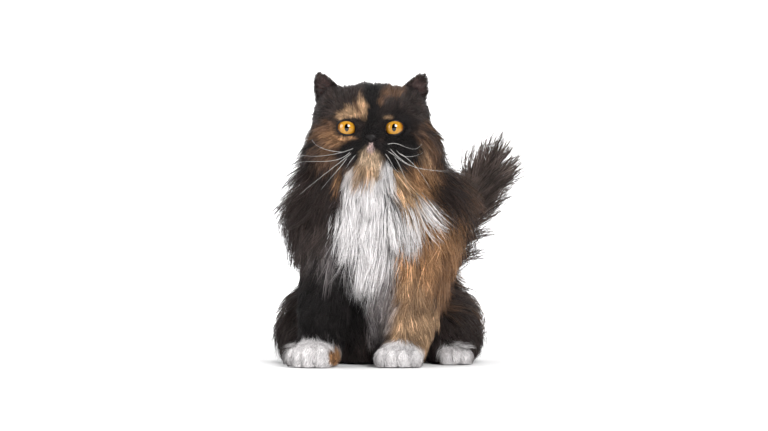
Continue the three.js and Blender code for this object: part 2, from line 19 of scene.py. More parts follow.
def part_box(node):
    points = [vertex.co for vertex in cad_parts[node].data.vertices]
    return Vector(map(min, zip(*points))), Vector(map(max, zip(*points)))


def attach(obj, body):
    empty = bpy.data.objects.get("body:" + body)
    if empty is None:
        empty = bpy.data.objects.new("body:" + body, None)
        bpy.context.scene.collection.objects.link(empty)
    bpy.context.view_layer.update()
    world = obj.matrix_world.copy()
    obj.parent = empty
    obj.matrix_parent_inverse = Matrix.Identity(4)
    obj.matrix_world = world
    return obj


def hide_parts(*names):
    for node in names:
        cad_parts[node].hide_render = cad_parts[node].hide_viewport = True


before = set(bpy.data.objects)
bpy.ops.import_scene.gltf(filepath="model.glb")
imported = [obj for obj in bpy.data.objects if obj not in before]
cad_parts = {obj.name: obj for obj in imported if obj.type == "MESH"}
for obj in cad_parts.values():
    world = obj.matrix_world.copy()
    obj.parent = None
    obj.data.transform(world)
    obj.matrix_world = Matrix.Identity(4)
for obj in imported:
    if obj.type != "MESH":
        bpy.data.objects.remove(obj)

LOG = logging.getLogger("persian_cat")
MM = 0.001
Array = np.ndarray
Triple = tuple[float, float, float]
Field = Callable[[Array], Array]

FACE_MIDDLE = -2.0
EYE_RADIUS = 13.2
EYE_LEVEL = 312.0
EYE_SPACING = 61.4
EYE_DEPTH = -97.8
LID_RADIUS = 14.8
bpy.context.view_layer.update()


def eye_centre(side: int) -> Array:
    """Centre of the eyeball on one side, -1 for the cat's right and 1 for its left."""
    return np.array([FACE_MIDDLE + side * EYE_SPACING / 2, EYE_DEPTH, EYE_LEVEL])


def home_shift() -> Array:
    """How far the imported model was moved, in millimetres, found from the place of its left eye."""
    low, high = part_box("eye_left")
    return np.array((low + high) / 2) / MM - eye_centre(1)


HOME = home_shift()


def unit(vectors: Array) -> Array:
    """The vectors at length one."""
    size = np.linalg.norm(vectors, axis=-1, keepdims=True)
    return vectors / np.maximum(size, 1e-9)


def smooth_step(low: float, high: float, value: Array) -> Array:
    """An even ramp from 0 at low to 1 at high, with soft ends."""
    t = np.clip((value - low) / (high - low), 0, 1)
    return t * t * (3 - 2 * t)


class Ripple:
    """Smooth seeded noise over space, about -1 to 1, as a sum of waves in many directions."""

    def __init__(self, seed: int, size: float, waves: int = 7) -> None:
        """Draws the waves.

        Args:
            seed: number that fixes the pattern.
            size: wavelength of the waves, in millimetres.
            waves: how many waves are added.
        """
        dice = np.random.default_rng(seed)
        length = size * dice.uniform(0.6, 1.6, (waves, 1))
        self.ways = unit(dice.normal(size=(waves, 3))) * 2 * math.pi / length
        self.phases = dice.uniform(0, 2 * math.pi, waves)

    def __call__(self, points: Array) -> Array:
        """The noise at the points."""
        return np.sin(points @ self.ways.T + self.phases).sum(axis=-1) / math.sqrt(len(self.phases))


@dataclass(frozen=True)
class Ball:
    """An ellipsoid of the body."""

    centre: Triple
    radii: Triple
    blend: float = 0.0

    def distance(self, points: Array) -> Array:
        """Signed distance from the points to the surface, negative inside."""
        radii = np.array(self.radii, np.float32)
        away = points - np.array(self.centre, np.float32)
        near = np.linalg.norm(away / radii, axis=-1)
        slope = np.linalg.norm(away / radii**2, axis=-1)
        return near * (near - 1) / np.maximum(slope, 1e-4)


@dataclass(frozen=True)
class Limb:
    """A round tapering length between two points."""

    start: Triple
    end: Triple
    radii: tuple[float, float]
    blend: float = 0.0

    def distance(self, points: Array) -> Array:
        """Signed distance from the points to the surface, negative inside."""
        start = np.array(self.start, np.float32)
        along = np.array(self.end, np.float32) - start
        t = np.clip((points - start) @ along / (along @ along), 0, 1)
        away = points - (start + t[..., None] * along)
        return np.linalg.norm(away, axis=-1) - (self.radii[0] + (self.radii[1] - self.radii[0]) * t)


def join(first: Array, second: Array, blend: float) -> Array:
    """Two distance fields melted into one over a width."""
    h = np.clip(0.5 + 0.5 * (second - first) / blend, 0, 1)
    return second + (first - second) * h - blend * h * (1 - h)


def melted(forms: Sequence[Ball | Limb], blend: float, points: Array) -> Array:
    """Distance to forms melted into one smooth surface.

    Args:
        forms: the forms, in the order in which they are added.
        blend: how far a form melts into those before it, where it has no width of its own.
        points: where the distance is wanted.

    Returns:
        Signed distances, negative inside.
    """
    distance = forms[0].distance(points)
    for form in forms[1:]:
        distance = join(distance, form.distance(points), form.blend or blend)
    return distance


class Part(Enum):
    """Parts of the body that carry their own coat."""

    HEAD = 0
    TRUNK = 1
    HAUNCH_RIGHT = 2
    HAUNCH_LEFT = 3
    FORELEG_RIGHT = 4
    FORELEG_LEFT = 5
    PAWS = 6
    TAIL = 7
    EARS = 8


@dataclass(frozen=True)
class Paw:
    """A paw with four toes, set flat on the floor."""

    centre: tuple[float, float]
    heading: float
    length: float
    width: float
    height: float

    def distance(self, points: Array) -> Array:
        """Signed distance to the paw."""
        long, wide, high = self.length, self.width, self.height
        palm = Ball((0, 0.1 * long, 0.4 * high), (0.43 * wide, 0.42 * long, 0.58 * high))
        toes = [
            Ball(
                (k * 0.245 * wide, (-0.3 + 0.05 * k * k) * long, 0.32 * high),
                (0.145 * wide, 0.2 * long, 0.4 * high),
            )
            for k in (-1.5, -0.5, 0.5, 1.5)
        ]
        turn = math.radians(self.heading)
        c, s = math.cos(turn), math.sin(turn)
        x, y = points[..., 0] - self.centre[0], points[..., 1] - self.centre[1]
        local = np.stack([c * x + s * y, -s * x + c * y, points[..., 2]], axis=-1)
        return melted([palm, *toes], 3, local)


@dataclass(frozen=True)
class Ear:
    """A cupped leaf with a rounded tip, open to the front and a little to the side."""

    root: Triple
    tip: Triple
    width: float
    side: int
    wall: float = 3.4
    cup: float = 13.0
    foot: float = -0.24
    top: float = 0.99
    taper: float = 0.34
    roundness: float = 1.9
    least_half_width: float = 0.5
    back: float = 0.5

    def axes(self) -> tuple[Array, Array, Array]:
        """The rise from root to tip, the way across the leaf, and the way it faces."""
        rise = np.array(self.tip) - np.array(self.root)
        front = unit(np.array([self.side * 0.3, -1.0, 0.1]))
        return rise, unit(np.cross(unit(rise), front)), front

    def local(self, points: Array) -> tuple[Array, Array, Array]:
        """Share of the height, millimetres across and millimetres to the front, for each point."""
        frame_axes = np.linalg.inv(np.stack(self.axes(), axis=1))
        v, a, b = np.moveaxis((points - np.array(self.root)) @ frame_axes.T, -1, 0)
        return v, a, b

    def half_width(self, v: Array) -> Array:
        """Half the leaf's width at a share of its height."""
        high = np.clip(v, 0, 1)
        return self.width / 2 * np.sqrt(1 - high**self.roundness) * (1 - self.taper * high)

    def distance(self, points: Array) -> Array:
        """Signed distance to the leaf."""
        v, a, b = self.local(points)
        half = np.maximum(self.half_width(v), self.least_half_width)
        u = np.clip(a / half, -1.2, 1.2)
        depth = self.cup * (1 - np.clip(v, 0, 1)) * (half / (self.width / 2))
        lean = np.sqrt(1 + (2 * depth * u / half) ** 2)
        face = (np.abs(b - depth * (u * u - 1) + self.back) - self.wall / 2 * lean) / lean
        height = np.linalg.norm(self.axes()[0])
        return np.maximum.reduce([face, np.abs(a) - half, (v - self.top) * height, (self.foot - v) * height])


# How far the forms of one part melt into each other, and each part into the trunk
FORM_BLEND = {Part.HEAD: 14, Part.TRUNK: 26, Part.HAUNCH_RIGHT: 20, Part.HAUNCH_LEFT: 20, Part.TAIL: 6}
PART_BLEND = {
    Part.HEAD: 24,
    Part.HAUNCH_RIGHT: 16,
    Part.HAUNCH_LEFT: 16,
    Part.FORELEG_RIGHT: 16,
    Part.FORELEG_LEFT: 16,
    Part.TAIL: 12,
    Part.PAWS: 5,
    Part.EARS: 4,
}


@dataclass(frozen=True)
class Body:
    """The cat's flesh as named forms, and the smooth surface over them."""

    skull: tuple = (
        Ball((-1, -60, 316), (70, 50, 48)),
        Ball((-1, -86, 336), (44, 25, 27)),
        Ball((-40, -68, 288), (38, 37, 37)),
        Ball((42, -68, 288), (41, 37, 37)),
        Ball((-1, -98, 314), (14, 13, 20)),
        Ball((-46, -58, 334), (25, 27, 24)),
        Ball((44, -58, 334), (25, 27, 24)),
        Ball((-36, -92, 268), (16, 19, 13)),
        Ball((33, -92, 266), (16, 19, 13)),
        Ball((-1, -95, 262), (20, 16, 17)),
        Limb((-13, -102, 290), (-36, -92, 272), (14, 15), 6),
        Limb((11, -102, 290), (33, -92, 271), (14, 15), 6),
    )
    trunk: tuple = (
        Ball((0, -30, 246), (74, 52, 42)),
        Ball((0, -26, 212), (86, 60, 42)),
        Ball((-1, -24, 165), (76, 58, 86)),
        Ball((38, 24, 206), (76, 60, 48)),
        Ball((-54, -22, 160), (34, 38, 52)),
        Ball((66, -18, 168), (38, 40, 52)),
        Ball((14, 56, 118), (86, 90, 100)),
        Ball((16, 104, 76), (86, 76, 74)),
        Ball((0, 6, 56), (60, 50, 62)),
    )
    haunch_right: tuple = (Ball((-76, 66, 46), (44, 62, 48)), Ball((-84, 26, 28), (30, 34, 32)))
    haunch_left: tuple = (Ball((98, 66, 46), (42, 62, 48)), Ball((104, 26, 28), (30, 34, 32)))
    foreleg_right: Limb = Limb((-58, -44, 132), (-68, -70, 26), (29, 25))
    foreleg_left: Limb = Limb((74, -40, 136), (45, -70, 26), (31, 25))
    paws: tuple = (
        Paw((-76, -88), -34, 64, 60, 38),
        Paw((35, -88), -4, 60, 60, 33),
        Paw((-92, -8), -20, 66, 42, 27),
        Paw((108, -6), 16, 66, 42, 27),
    )
    ears: tuple = (
        Ear((-53, -56, 347), (-70.5, -63, 383), 39, -1),
        Ear((50, -56, 347), (67.5, -63, 382), 39, 1),
    )
    tail_line: tuple = (
        (28, 150, 44),
        (60, 184, 76),
        (92, 196, 134),
        (119, 195, 186),
        (144, 188, 228),
        (168, 180, 255),
    )
    tail_radii: tuple = (17, 16, 15, 15, 14, 9)

    def parts(self, points: Array) -> dict[Part, Array]:
        """Signed distance from the points to each part of the body."""
        tail = [
            Limb(self.tail_line[i], self.tail_line[i + 1], self.tail_radii[i : i + 2])
            for i in range(len(self.tail_line) - 1)
        ]
        forms = {
            Part.HEAD: self.skull,
            Part.TRUNK: self.trunk,
            Part.HAUNCH_RIGHT: self.haunch_right,
            Part.HAUNCH_LEFT: self.haunch_left,
            Part.TAIL: tail,
        }
        return {
            **{part: melted(forms[part], FORM_BLEND[part], points) for part in forms},
            Part.FORELEG_RIGHT: self.foreleg_right.distance(points),
            Part.FORELEG_LEFT: self.foreleg_left.distance(points),
            Part.PAWS: np.minimum.reduce([paw.distance(points) for paw in self.paws]),
            Part.EARS: np.minimum.reduce([ear.distance(points) for ear in self.ears]),
        }

    def surface(self, points: Array, inset: dict[Part, float], ears: bool) -> Array:
        """Distance to the whole body as one smooth surface.

        Args:
            points: where the distance is wanted.
            inset: how far each part's surface is drawn in.
            ears: whether the ears count.

        Returns:
            Signed distances, negative inside.
        """
        parts = {key: value + inset.get(key, 0.0) for key, value in self.parts(points).items()}
        whole = parts[Part.TRUNK]
        for key, blend in PART_BLEND.items():
            if ears or key is not Part.EARS:
                whole = join(whole, parts[key], blend)
        return whole


BODY = Body()
SKIN_INSET = {
    Part.HEAD: 1.4,
    Part.TRUNK: 4.0,
    Part.HAUNCH_RIGHT: 3.0,
    Part.HAUNCH_LEFT: 3.0,
    Part.FORELEG_RIGHT: 2.4,
    Part.FORELEG_LEFT: 2.4,
    Part.PAWS: 0.8,
    Part.TAIL: 4.0,
}


def skin_distance(points: Array) -> Array:
    """Distance to the skin, with the sockets of the eyes cut in."""
    whole = BODY.surface(points, SKIN_INSET, ears=True)
    for side in (-1, 1):
        socket = np.linalg.norm(points - eye_centre(side), axis=-1) - (EYE_RADIUS + 0.4)
        whole = np.maximum(whole, -socket)
    return whole


def drape_distance(points: Array) -> Array:
    """Distance to the surface that the coat lies over: the body without its ears, and the lids."""
    whole = BODY.surface(points, {}, ears=False)
    for side in (-1, 1):
        whole = np.minimum(whole, np.linalg.norm(points - eye_centre(side), axis=-1) - LID_RADIUS)
    return whole


@dataclass
class DistanceGrid:
    """A distance field kept on an even grid."""

    low: Array
    step: float
    values: Array

    @classmethod
    def sampled(cls, distance: Field, low: Triple, high: Triple, step: float) -> "DistanceGrid":
        """Samples a distance field over a box.

        Args:
            distance: the field.
            low: lowest corner of the box.
            high: highest corner of the box.
            step: spacing of the grid.

        Returns:
            The grid of distances.
        """
        axes = [np.arange(low[i], high[i] + step, step, dtype=np.float32) for i in range(3)]
        slabs = []
        for x in axes[0]:
            points = np.stack(np.meshgrid([x], axes[1], axes[2], indexing="ij"), axis=-1)
            slabs.append(distance(points.reshape(-1, 3).astype(np.float32)).reshape(points.shape[1:3]))
        return cls(np.array(low, np.float32), step, np.stack(slabs).astype(np.float32))

    def at(self, points: Array) -> Array:
        """The distance at points inside the box, evened between grid points."""
        place = (points - self.low) / self.step
        limit = np.array(self.values.shape) - 1.001
        place = np.clip(place, 0, limit)
        cell = place.astype(int)
        share = place - cell
        result = np.zeros(len(points))
        for corner in np.ndindex(2, 2, 2):
            weight = np.prod(np.where(corner, share, 1 - share), axis=1)
            result += weight * self.values[tuple((cell + corner).T)]
        return result

    def outward(self, points: Array) -> Array:
        """The outward direction at points."""
        reach = self.step
        slope = [self.at(points + reach * way) - self.at(points - reach * way) for way in np.eye(3)]
        return unit(np.stack(slope, axis=-1))

    def net(self) -> tuple[Array, Array]:
        """The zero surface as quads.

        Returns:
            Vertices, and faces of four corners that point outwards.
        """
        inside = self.values < 0
        corners = [tuple(slice(c, c - 1 or None) for c in corner) for corner in np.ndindex(2, 2, 2)]
        count = sum(inside[corner].astype(np.int8) for corner in corners)
        cells = np.argwhere((count > 0) & (count < 8))
        index = np.full(count.shape, -1, np.int64)
        index[tuple(cells.T)] = np.arange(len(cells))
        total = np.zeros((len(cells), 3))
        crossings = np.zeros((len(cells), 1))
        for axis in range(3):
            others = [i for i in range(3) if i != axis]
            for shift in np.ndindex(2, 2):
                start = np.zeros(3, int)
                start[others[0]], start[others[1]] = shift
                end = start.copy()
                end[axis] = 1
                a = self.values[tuple((cells + start).T)]
                b = self.values[tuple((cells + end).T)]
                crosses = (a < 0) != (b < 0)
                t = np.where(crosses, a / np.where(crosses, a - b, 1), 0)
                total += crosses[:, None] * (start + t[:, None] * (end - start))
                crossings += crosses[:, None]
        vertices = self.low + self.step * (cells + total / crossings)
        faces = []
        for axis in range(3):
            one, two = (axis + 1) % 3, (axis + 2) % 3
            low = [slice(None)] * 3
            high = [slice(None)] * 3
            low[axis], high[axis] = slice(0, -1), slice(1, None)
            changes = inside[tuple(low)] != inside[tuple(high)]
            edges = np.argwhere(changes)
            edges = edges[(edges[:, one] > 0) & (edges[:, two] > 0)]
            edges = edges[(edges[:, one] < count.shape[one]) & (edges[:, two] < count.shape[two])]
            step_one, step_two = np.eye(3, dtype=int)[one], np.eye(3, dtype=int)[two]
            ring = [edges, edges - step_one, edges - step_one - step_two, edges - step_two]
            quads = np.stack([index[tuple(corner.T)] for corner in ring], axis=-1)
            points_up = inside[tuple(edges.T)]
            faces.append(np.where(points_up[:, None], quads, quads[:, ::-1]))
        return vertices, np.concatenate(faces)


def settle(vertices: Array, distance: Field, rounds: int, step: float = 0.4) -> Array:
    """Moves vertices onto the zero surface of a distance field.

    Args:
        vertices: the points to move.
        distance: the field.
        rounds: how many times they are moved.
        step: reach of the slope's measure.

    Returns:
        The moved points.
    """
    for _ in range(rounds):
        slope = [distance(vertices + step * way) - distance(vertices - step * way) for way in np.eye(3)]
        slope = np.stack(slope, axis=-1) / (2 * step)
        size = np.maximum((slope**2).sum(axis=-1), 0.25)
        vertices = vertices - np.clip(distance(vertices) / size, -1, 1)[:, None] * slope
    return vertices


def on_face(x: Array, z: Array) -> Array:
    """The points of the face at places across and heights."""
    inside_head, steps, caution = -75.0, 40, 0.8
    points = np.stack([x, np.full_like(x, inside_head), z], axis=-1)
    for _ in range(steps):
        points[:, 1] += melted(BODY.skull, FORM_BLEND[Part.HEAD], points) * caution
    return points


def make_piece(name: str, vertices: Array, loops: Array, sizes: Array) -> bpy.types.Object:
    """A mesh object from arrays in millimetres.

    Args:
        name: the object's name.
        vertices: points in the body's own frame.
        loops: corners of all faces, one face after another.
        sizes: how many corners each face has.

    Returns:
        The object, linked to the scene.
    """
    mesh = bpy.data.meshes.new(name)
    mesh.vertices.add(len(vertices))
    mesh.vertices.foreach_set("co", ((vertices + HOME) * MM).astype(np.float32).ravel())
    mesh.loops.add(len(loops))
    mesh.loops.foreach_set("vertex_index", loops.astype(np.int32))
    mesh.polygons.add(len(sizes))
    starts = np.concatenate([[0], np.cumsum(sizes)[:-1]])
    mesh.polygons.foreach_set("loop_start", starts.astype(np.int32))
    mesh.update(calc_edges=True)
    mesh.shade_smooth()
    piece = bpy.data.objects.new(name, mesh)
    bpy.context.scene.collection.objects.link(piece)
    return piece


def colour_points(piece: bpy.types.Object, colours: Array) -> None:
    """Keeps one colour for each vertex in the attribute that the coat's finish reads."""
    layer = piece.data.color_attributes.new("marking", "FLOAT_COLOR", "POINT")
    layer.data.foreach_set("color", np.c_[colours, np.ones(len(colours))].astype(np.float32).ravel())


def mark_points(piece: bpy.types.Object, name: str, vectors: Array) -> None:
    """Keeps one vector for each vertex in an attribute that the piece's finish reads."""
    layer = piece.data.attributes.new(name, "FLOAT_VECTOR", "POINT")
    layer.data.foreach_set("vector", vectors.astype(np.float32).ravel())


def unwrap(piece: bpy.types.Object, places: Array) -> None:
    """Adds the UV map that is baked on, from one place for each corner of each face."""
    layer = piece.data.uv_layers.new(name="OFBake")
    layer.data.foreach_set("uv", places.astype(np.float32).ravel())


def finish_piece(
    piece: bpy.types.Object,
    material: bpy.types.Material,
    nodes: Sequence[str] = (),
) -> None:
    """Gives a piece its material, its body and the solids it stands for.

    Args:
        piece: the object.
        material: its finish.
        nodes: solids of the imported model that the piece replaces.
    """
    if not piece.data.materials:
        piece.data.materials.append(material)
    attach(piece, "root")
    if nodes:
        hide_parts(*nodes)
    LOG.info("%s: %d faces", piece.name, len(piece.data.polygons))


class Shade(Enum):
    """Colours of the coat, as the light from them in red, green and blue."""

    BLACK = (0.009, 0.0075, 0.0075)
    SABLE = (0.026, 0.018, 0.016)
    SMOKE = (0.062, 0.049, 0.045)
    BROWN = (0.155, 0.086, 0.050)
    GINGER = (0.350, 0.190, 0.093)
    TAN = (0.450, 0.290, 0.170)
    CREAM = (0.640, 0.470, 0.320)
    GREY = (0.330, 0.300, 0.300)
    WHITE = (0.840, 0.815, 0.815)
    PINK = (0.640, 0.480, 0.450)
    DUSK = (0.075, 0.046, 0.043)
    ASH = (0.088, 0.067, 0.058)


@dataclass(frozen=True)
class Patch:
    """One marking: an ellipsoid of space in which the coat takes a shade.

    Tilt turns it in the plane of the face, in degrees, and soft is the share of its size over
    which it fades.
    """

    shade: Shade
    centre: Triple
    radii: Triple
    tilt: float = 0.0
    soft: float = 0.25
    ragged: float = 0.12
    strength: float = 1.0

    def mask(self, points: Array, ripple: Array) -> Array:
        """How much of the shade the points take, 0 to 1."""
        away = points - np.array(self.centre)
        turn = math.radians(self.tilt)
        c, s = math.cos(turn), math.sin(turn)
        x = c * away[:, 0] + s * away[:, 2]
        z = -s * away[:, 0] + c * away[:, 2]
        wide, deep, high = self.radii
        near = np.sqrt((x / wide) ** 2 + (away[:, 1] / deep) ** 2 + (z / high) ** 2)
        near = near + self.ragged * ripple
        return self.strength * (1 - smooth_step(1 - self.soft, 1 + self.soft, near))


class Markings:
    """The pattern of the coat, the same for the skin and for every strand."""

    ground = Shade.SABLE
    patches: tuple[Patch, ...] = (
        # Back and sides, which the front view hides: dark with ginger brindling
        Patch(Shade.BROWN, (96, 50, 150), (46, 60, 46), 10, 0.5, 0.3, 0.8),
        Patch(Shade.GINGER, (-64, 120, 130), (38, 46, 40), -20, 0.5, 0.35, 0.75),
        Patch(Shade.BROWN, (30, 150, 130), (36, 50, 30), 30, 0.5, 0.35, 0.8),
        Patch(Shade.GINGER, (118, 96, 60), (30, 44, 26), 0, 0.5, 0.35, 0.6),
        Patch(Shade.BROWN, (-20, 40, 240), (26, 40, 24), 0, 0.5, 0.3, 0.7),
        Patch(Shade.BLACK, (-20, 0, 340), (80, 50, 40), 0, 0.4, 0.2, 0.5),
        Patch(Shade.ASH, (175, 190, 260), (90, 60, 90), 0, 0.3, 0.1, 0.75),
        # Dark right side of the ruff and the foreleg under it
        Patch(Shade.BLACK, (-58, -62, 70), (55, 60, 72), 0, 0.25, 0.1),
        Patch(Shade.SMOKE, (-76, -50, 150), (30, 60, 28), 30, 0.5, 0.3, 0.7),
        # Warm left side: shoulder, foreleg, and the streaks between them
        Patch(Shade.BROWN, (112, -20, 232), (32, 70, 36), -35, 0.5, 0.35, 0.45),
        Patch(Shade.SABLE, (92, -50, 240), (34, 70, 36), -25, 0.4, 0.3),
        Patch(Shade.GINGER, (74, -50, 138), (52, 80, 62), -14, 0.25, 0.25),
        Patch(Shade.BROWN, (92, -40, 118), (34, 70, 44), -20, 0.5, 0.4, 0.7),
        Patch(Shade.TAN, (52, -70, 62), (37, 60, 60), 8, 0.25, 0.15, 0.75),
        Patch(Shade.BROWN, (62, -70, 92), (40, 60, 18), 0, 0.6, 0.4, 0.45),
        # White bib, from under the chin to between the forelegs, and its second patch
        Patch(Shade.WHITE, (-8, -80, 196), (35, 80, 60), 0, 0.16, 0.12),
        Patch(Shade.WHITE, (-24, -80, 166), (32, 80, 36), 0, 0.25, 0.25),
        Patch(Shade.WHITE, (2, -80, 128), (27, 80, 40), -20, 0.22, 0.2),
        Patch(Shade.GREY, (13, -70, 72), (17, 70, 46), -12, 0.4, 0.25, 0.85),
        Patch(Shade.WHITE, (68, -80, 196), (22, 80, 26), -18, 0.3, 0.3),
        Patch(Shade.WHITE, (44, -80, 172), (24, 80, 20), 20, 0.3, 0.2),
        Patch(Shade.GREY, (-50, -70, 140), (26, 60, 14), 30, 0.6, 0.4, 0.45),
        # Ginger beard down the left of the bib
        Patch(Shade.GINGER, (62, -80, 240), (18, 60, 22), 0, 0.35, 0.2, 0.9),
        Patch(Shade.TAN, (46, -80, 222), (16, 60, 36), 22, 0.3, 0.2),
        # Cheeks
        Patch(Shade.BROWN, (-54, -80, 298), (26, 50, 25), 14, 0.3, 0.2),
        Patch(Shade.GINGER, (-46, -90, 300), (20, 40, 11), 8, 0.6, 0.4, 0.65),
        Patch(Shade.BROWN, (-60, -80, 268), (18, 50, 16), 0, 0.5, 0.3, 0.6),
        Patch(Shade.GINGER, (-46, -90, 242), (4, 40, 10), 0, 0.5, 0.3, 0.8),
        Patch(Shade.BROWN, (74, -70, 280), (13, 60, 34), 6, 0.5, 0.45, 0.85),
        Patch(Shade.TAN, (70, -76, 268), (8, 60, 16), 6, 0.6, 0.4, 0.5),
        Patch(Shade.GINGER, (66, -76, 246), (20, 60, 16), 0, 0.5, 0.3, 0.7),
        # Black mask: brow, bridge and whisker pads
        Patch(Shade.BLACK, (0, -90, 340), (13, 50, 40), 0, 0.3, 0.1),
        Patch(Shade.BLACK, (26, -100, 318), (30, 26, 22), 0, 0.35, 0.1, 0.85),
        Patch(Shade.BLACK, (34, -90, 284), (34, 50, 21), -10, 0.22, 0.14),
        Patch(Shade.BLACK, (30, -90, 262), (14, 50, 10), -20, 0.4, 0.14),
        Patch(Shade.BLACK, (-24, -96, 281), (25, 40, 15), 18, 0.2, 0.12),
        Patch(Shade.BLACK, (-1, -105, 304), (15, 30, 13), 0, 0.2, 0.08),
        Patch(Shade.BLACK, (-33, -98, 311), (17.5, 26, 13.5), -8, 0.16, 0.08, 0.92),
        Patch(Shade.BLACK, (29, -98, 311), (17.5, 26, 14), 8, 0.2, 0.1),
        # Blaze over the right eye and the small spots on the brow
        Patch(Shade.TAN, (-27, -96, 333), (20, 40, 9), 22, 0.35, 0.4, 0.9),
        Patch(Shade.TAN, (-13, -90, 339), (6, 50, 18), 10, 0.4, 0.35, 0.9),
        Patch(Shade.BROWN, (-19, -90, 337), (2.6, 50, 13), 22, 0.5, 0.3, 0.8),
        Patch(Shade.BROWN, (27, -80, 360), (13, 50, 8), 0, 0.5, 0.45, 0.8),
        Patch(Shade.BROWN, (12, -90, 346), (5, 50, 6), 0, 0.5, 0.3, 0.7),
        Patch(Shade.TAN, (21, -104, 325.5), (6, 20, 2.8), 0, 0.5, 0.3, 0.6),
        Patch(Shade.GINGER, (-33, -100, 298.5), (13, 20, 2.6), 0, 0.5, 0.2, 0.8),
        # Chin: pale lip, then a beige wedge that widens into the bib
        Patch(Shade.CREAM, (-2, -100, 262), (17, 40, 23), 0, 0.3, 0.12, 0.85),
        Patch(Shade.TAN, (-12, -100, 250), (20, 40, 13), 16, 0.4, 0.35, 0.85),
        Patch(Shade.WHITE, (22, -96, 246), (9, 40, 20), 22, 0.35, 0.15),
        Patch(Shade.WHITE, (-31, -90, 244), (6, 40, 13), -22, 0.4, 0.2, 0.7),
        Patch(Shade.PINK, (-1.5, -110, 283.5), (5, 20, 4.5), 0, 0.4, 0.1),
        Patch(Shade.PINK, (-1, -112, 291), (2.7, 20, 6.5), 0, 0.4, 0.1, 0.8),
        # Feet
        Patch(Shade.WHITE, (-76, -94, 14), (36, 40, 23), 0, 0.14, 0.06),
        Patch(Shade.GINGER, (-48, -96, 12), (9, 30, 15), 8, 0.3, 0.2),
        Patch(Shade.WHITE, (35, -94, 12), (33, 40, 21), 0, 0.14, 0.06),
        Patch(Shade.WHITE, (-94, -26, 8), (24, 26, 22), 0, 0.25, 0.1),
        Patch(Shade.WHITE, (110, -26, 8), (24, 26, 22), 0, 0.25, 0.1),
    )

    def __init__(self) -> None:
        """Draws the noise that frays the patches' edges."""
        self.coarse = Ripple(3, 34.0)
        self.fine = Ripple(4, 9.0)

    def colour(self, points: Array) -> Array:
        """The coat's colour at points in space."""
        ripple = 0.6 * self.coarse(points) + 0.4 * self.fine(points)
        colours = np.tile(np.array(self.ground.value), (len(points), 1))
        smoky = smooth_step(0.2, 1.6, self.coarse(points * 1.7))[:, None]
        colours += smoky * 0.5 * (np.array(Shade.SMOKE.value) - colours)
        for patch in self.patches:
            share = patch.mask(points, ripple)[:, None]
            colours += share * (np.array(patch.shade.value) - colours)
        return colours


@dataclass(frozen=True)
class Whorl:
    """How the coat grows about one place: the way it lies, its length, and how far its tips stand off.

    A whorl beside the middle line counts on both sides, unless it is single.
    """

    place: Triple
    lie: Triple
    length: float
    rise: float
    reach: float
    single: bool = False


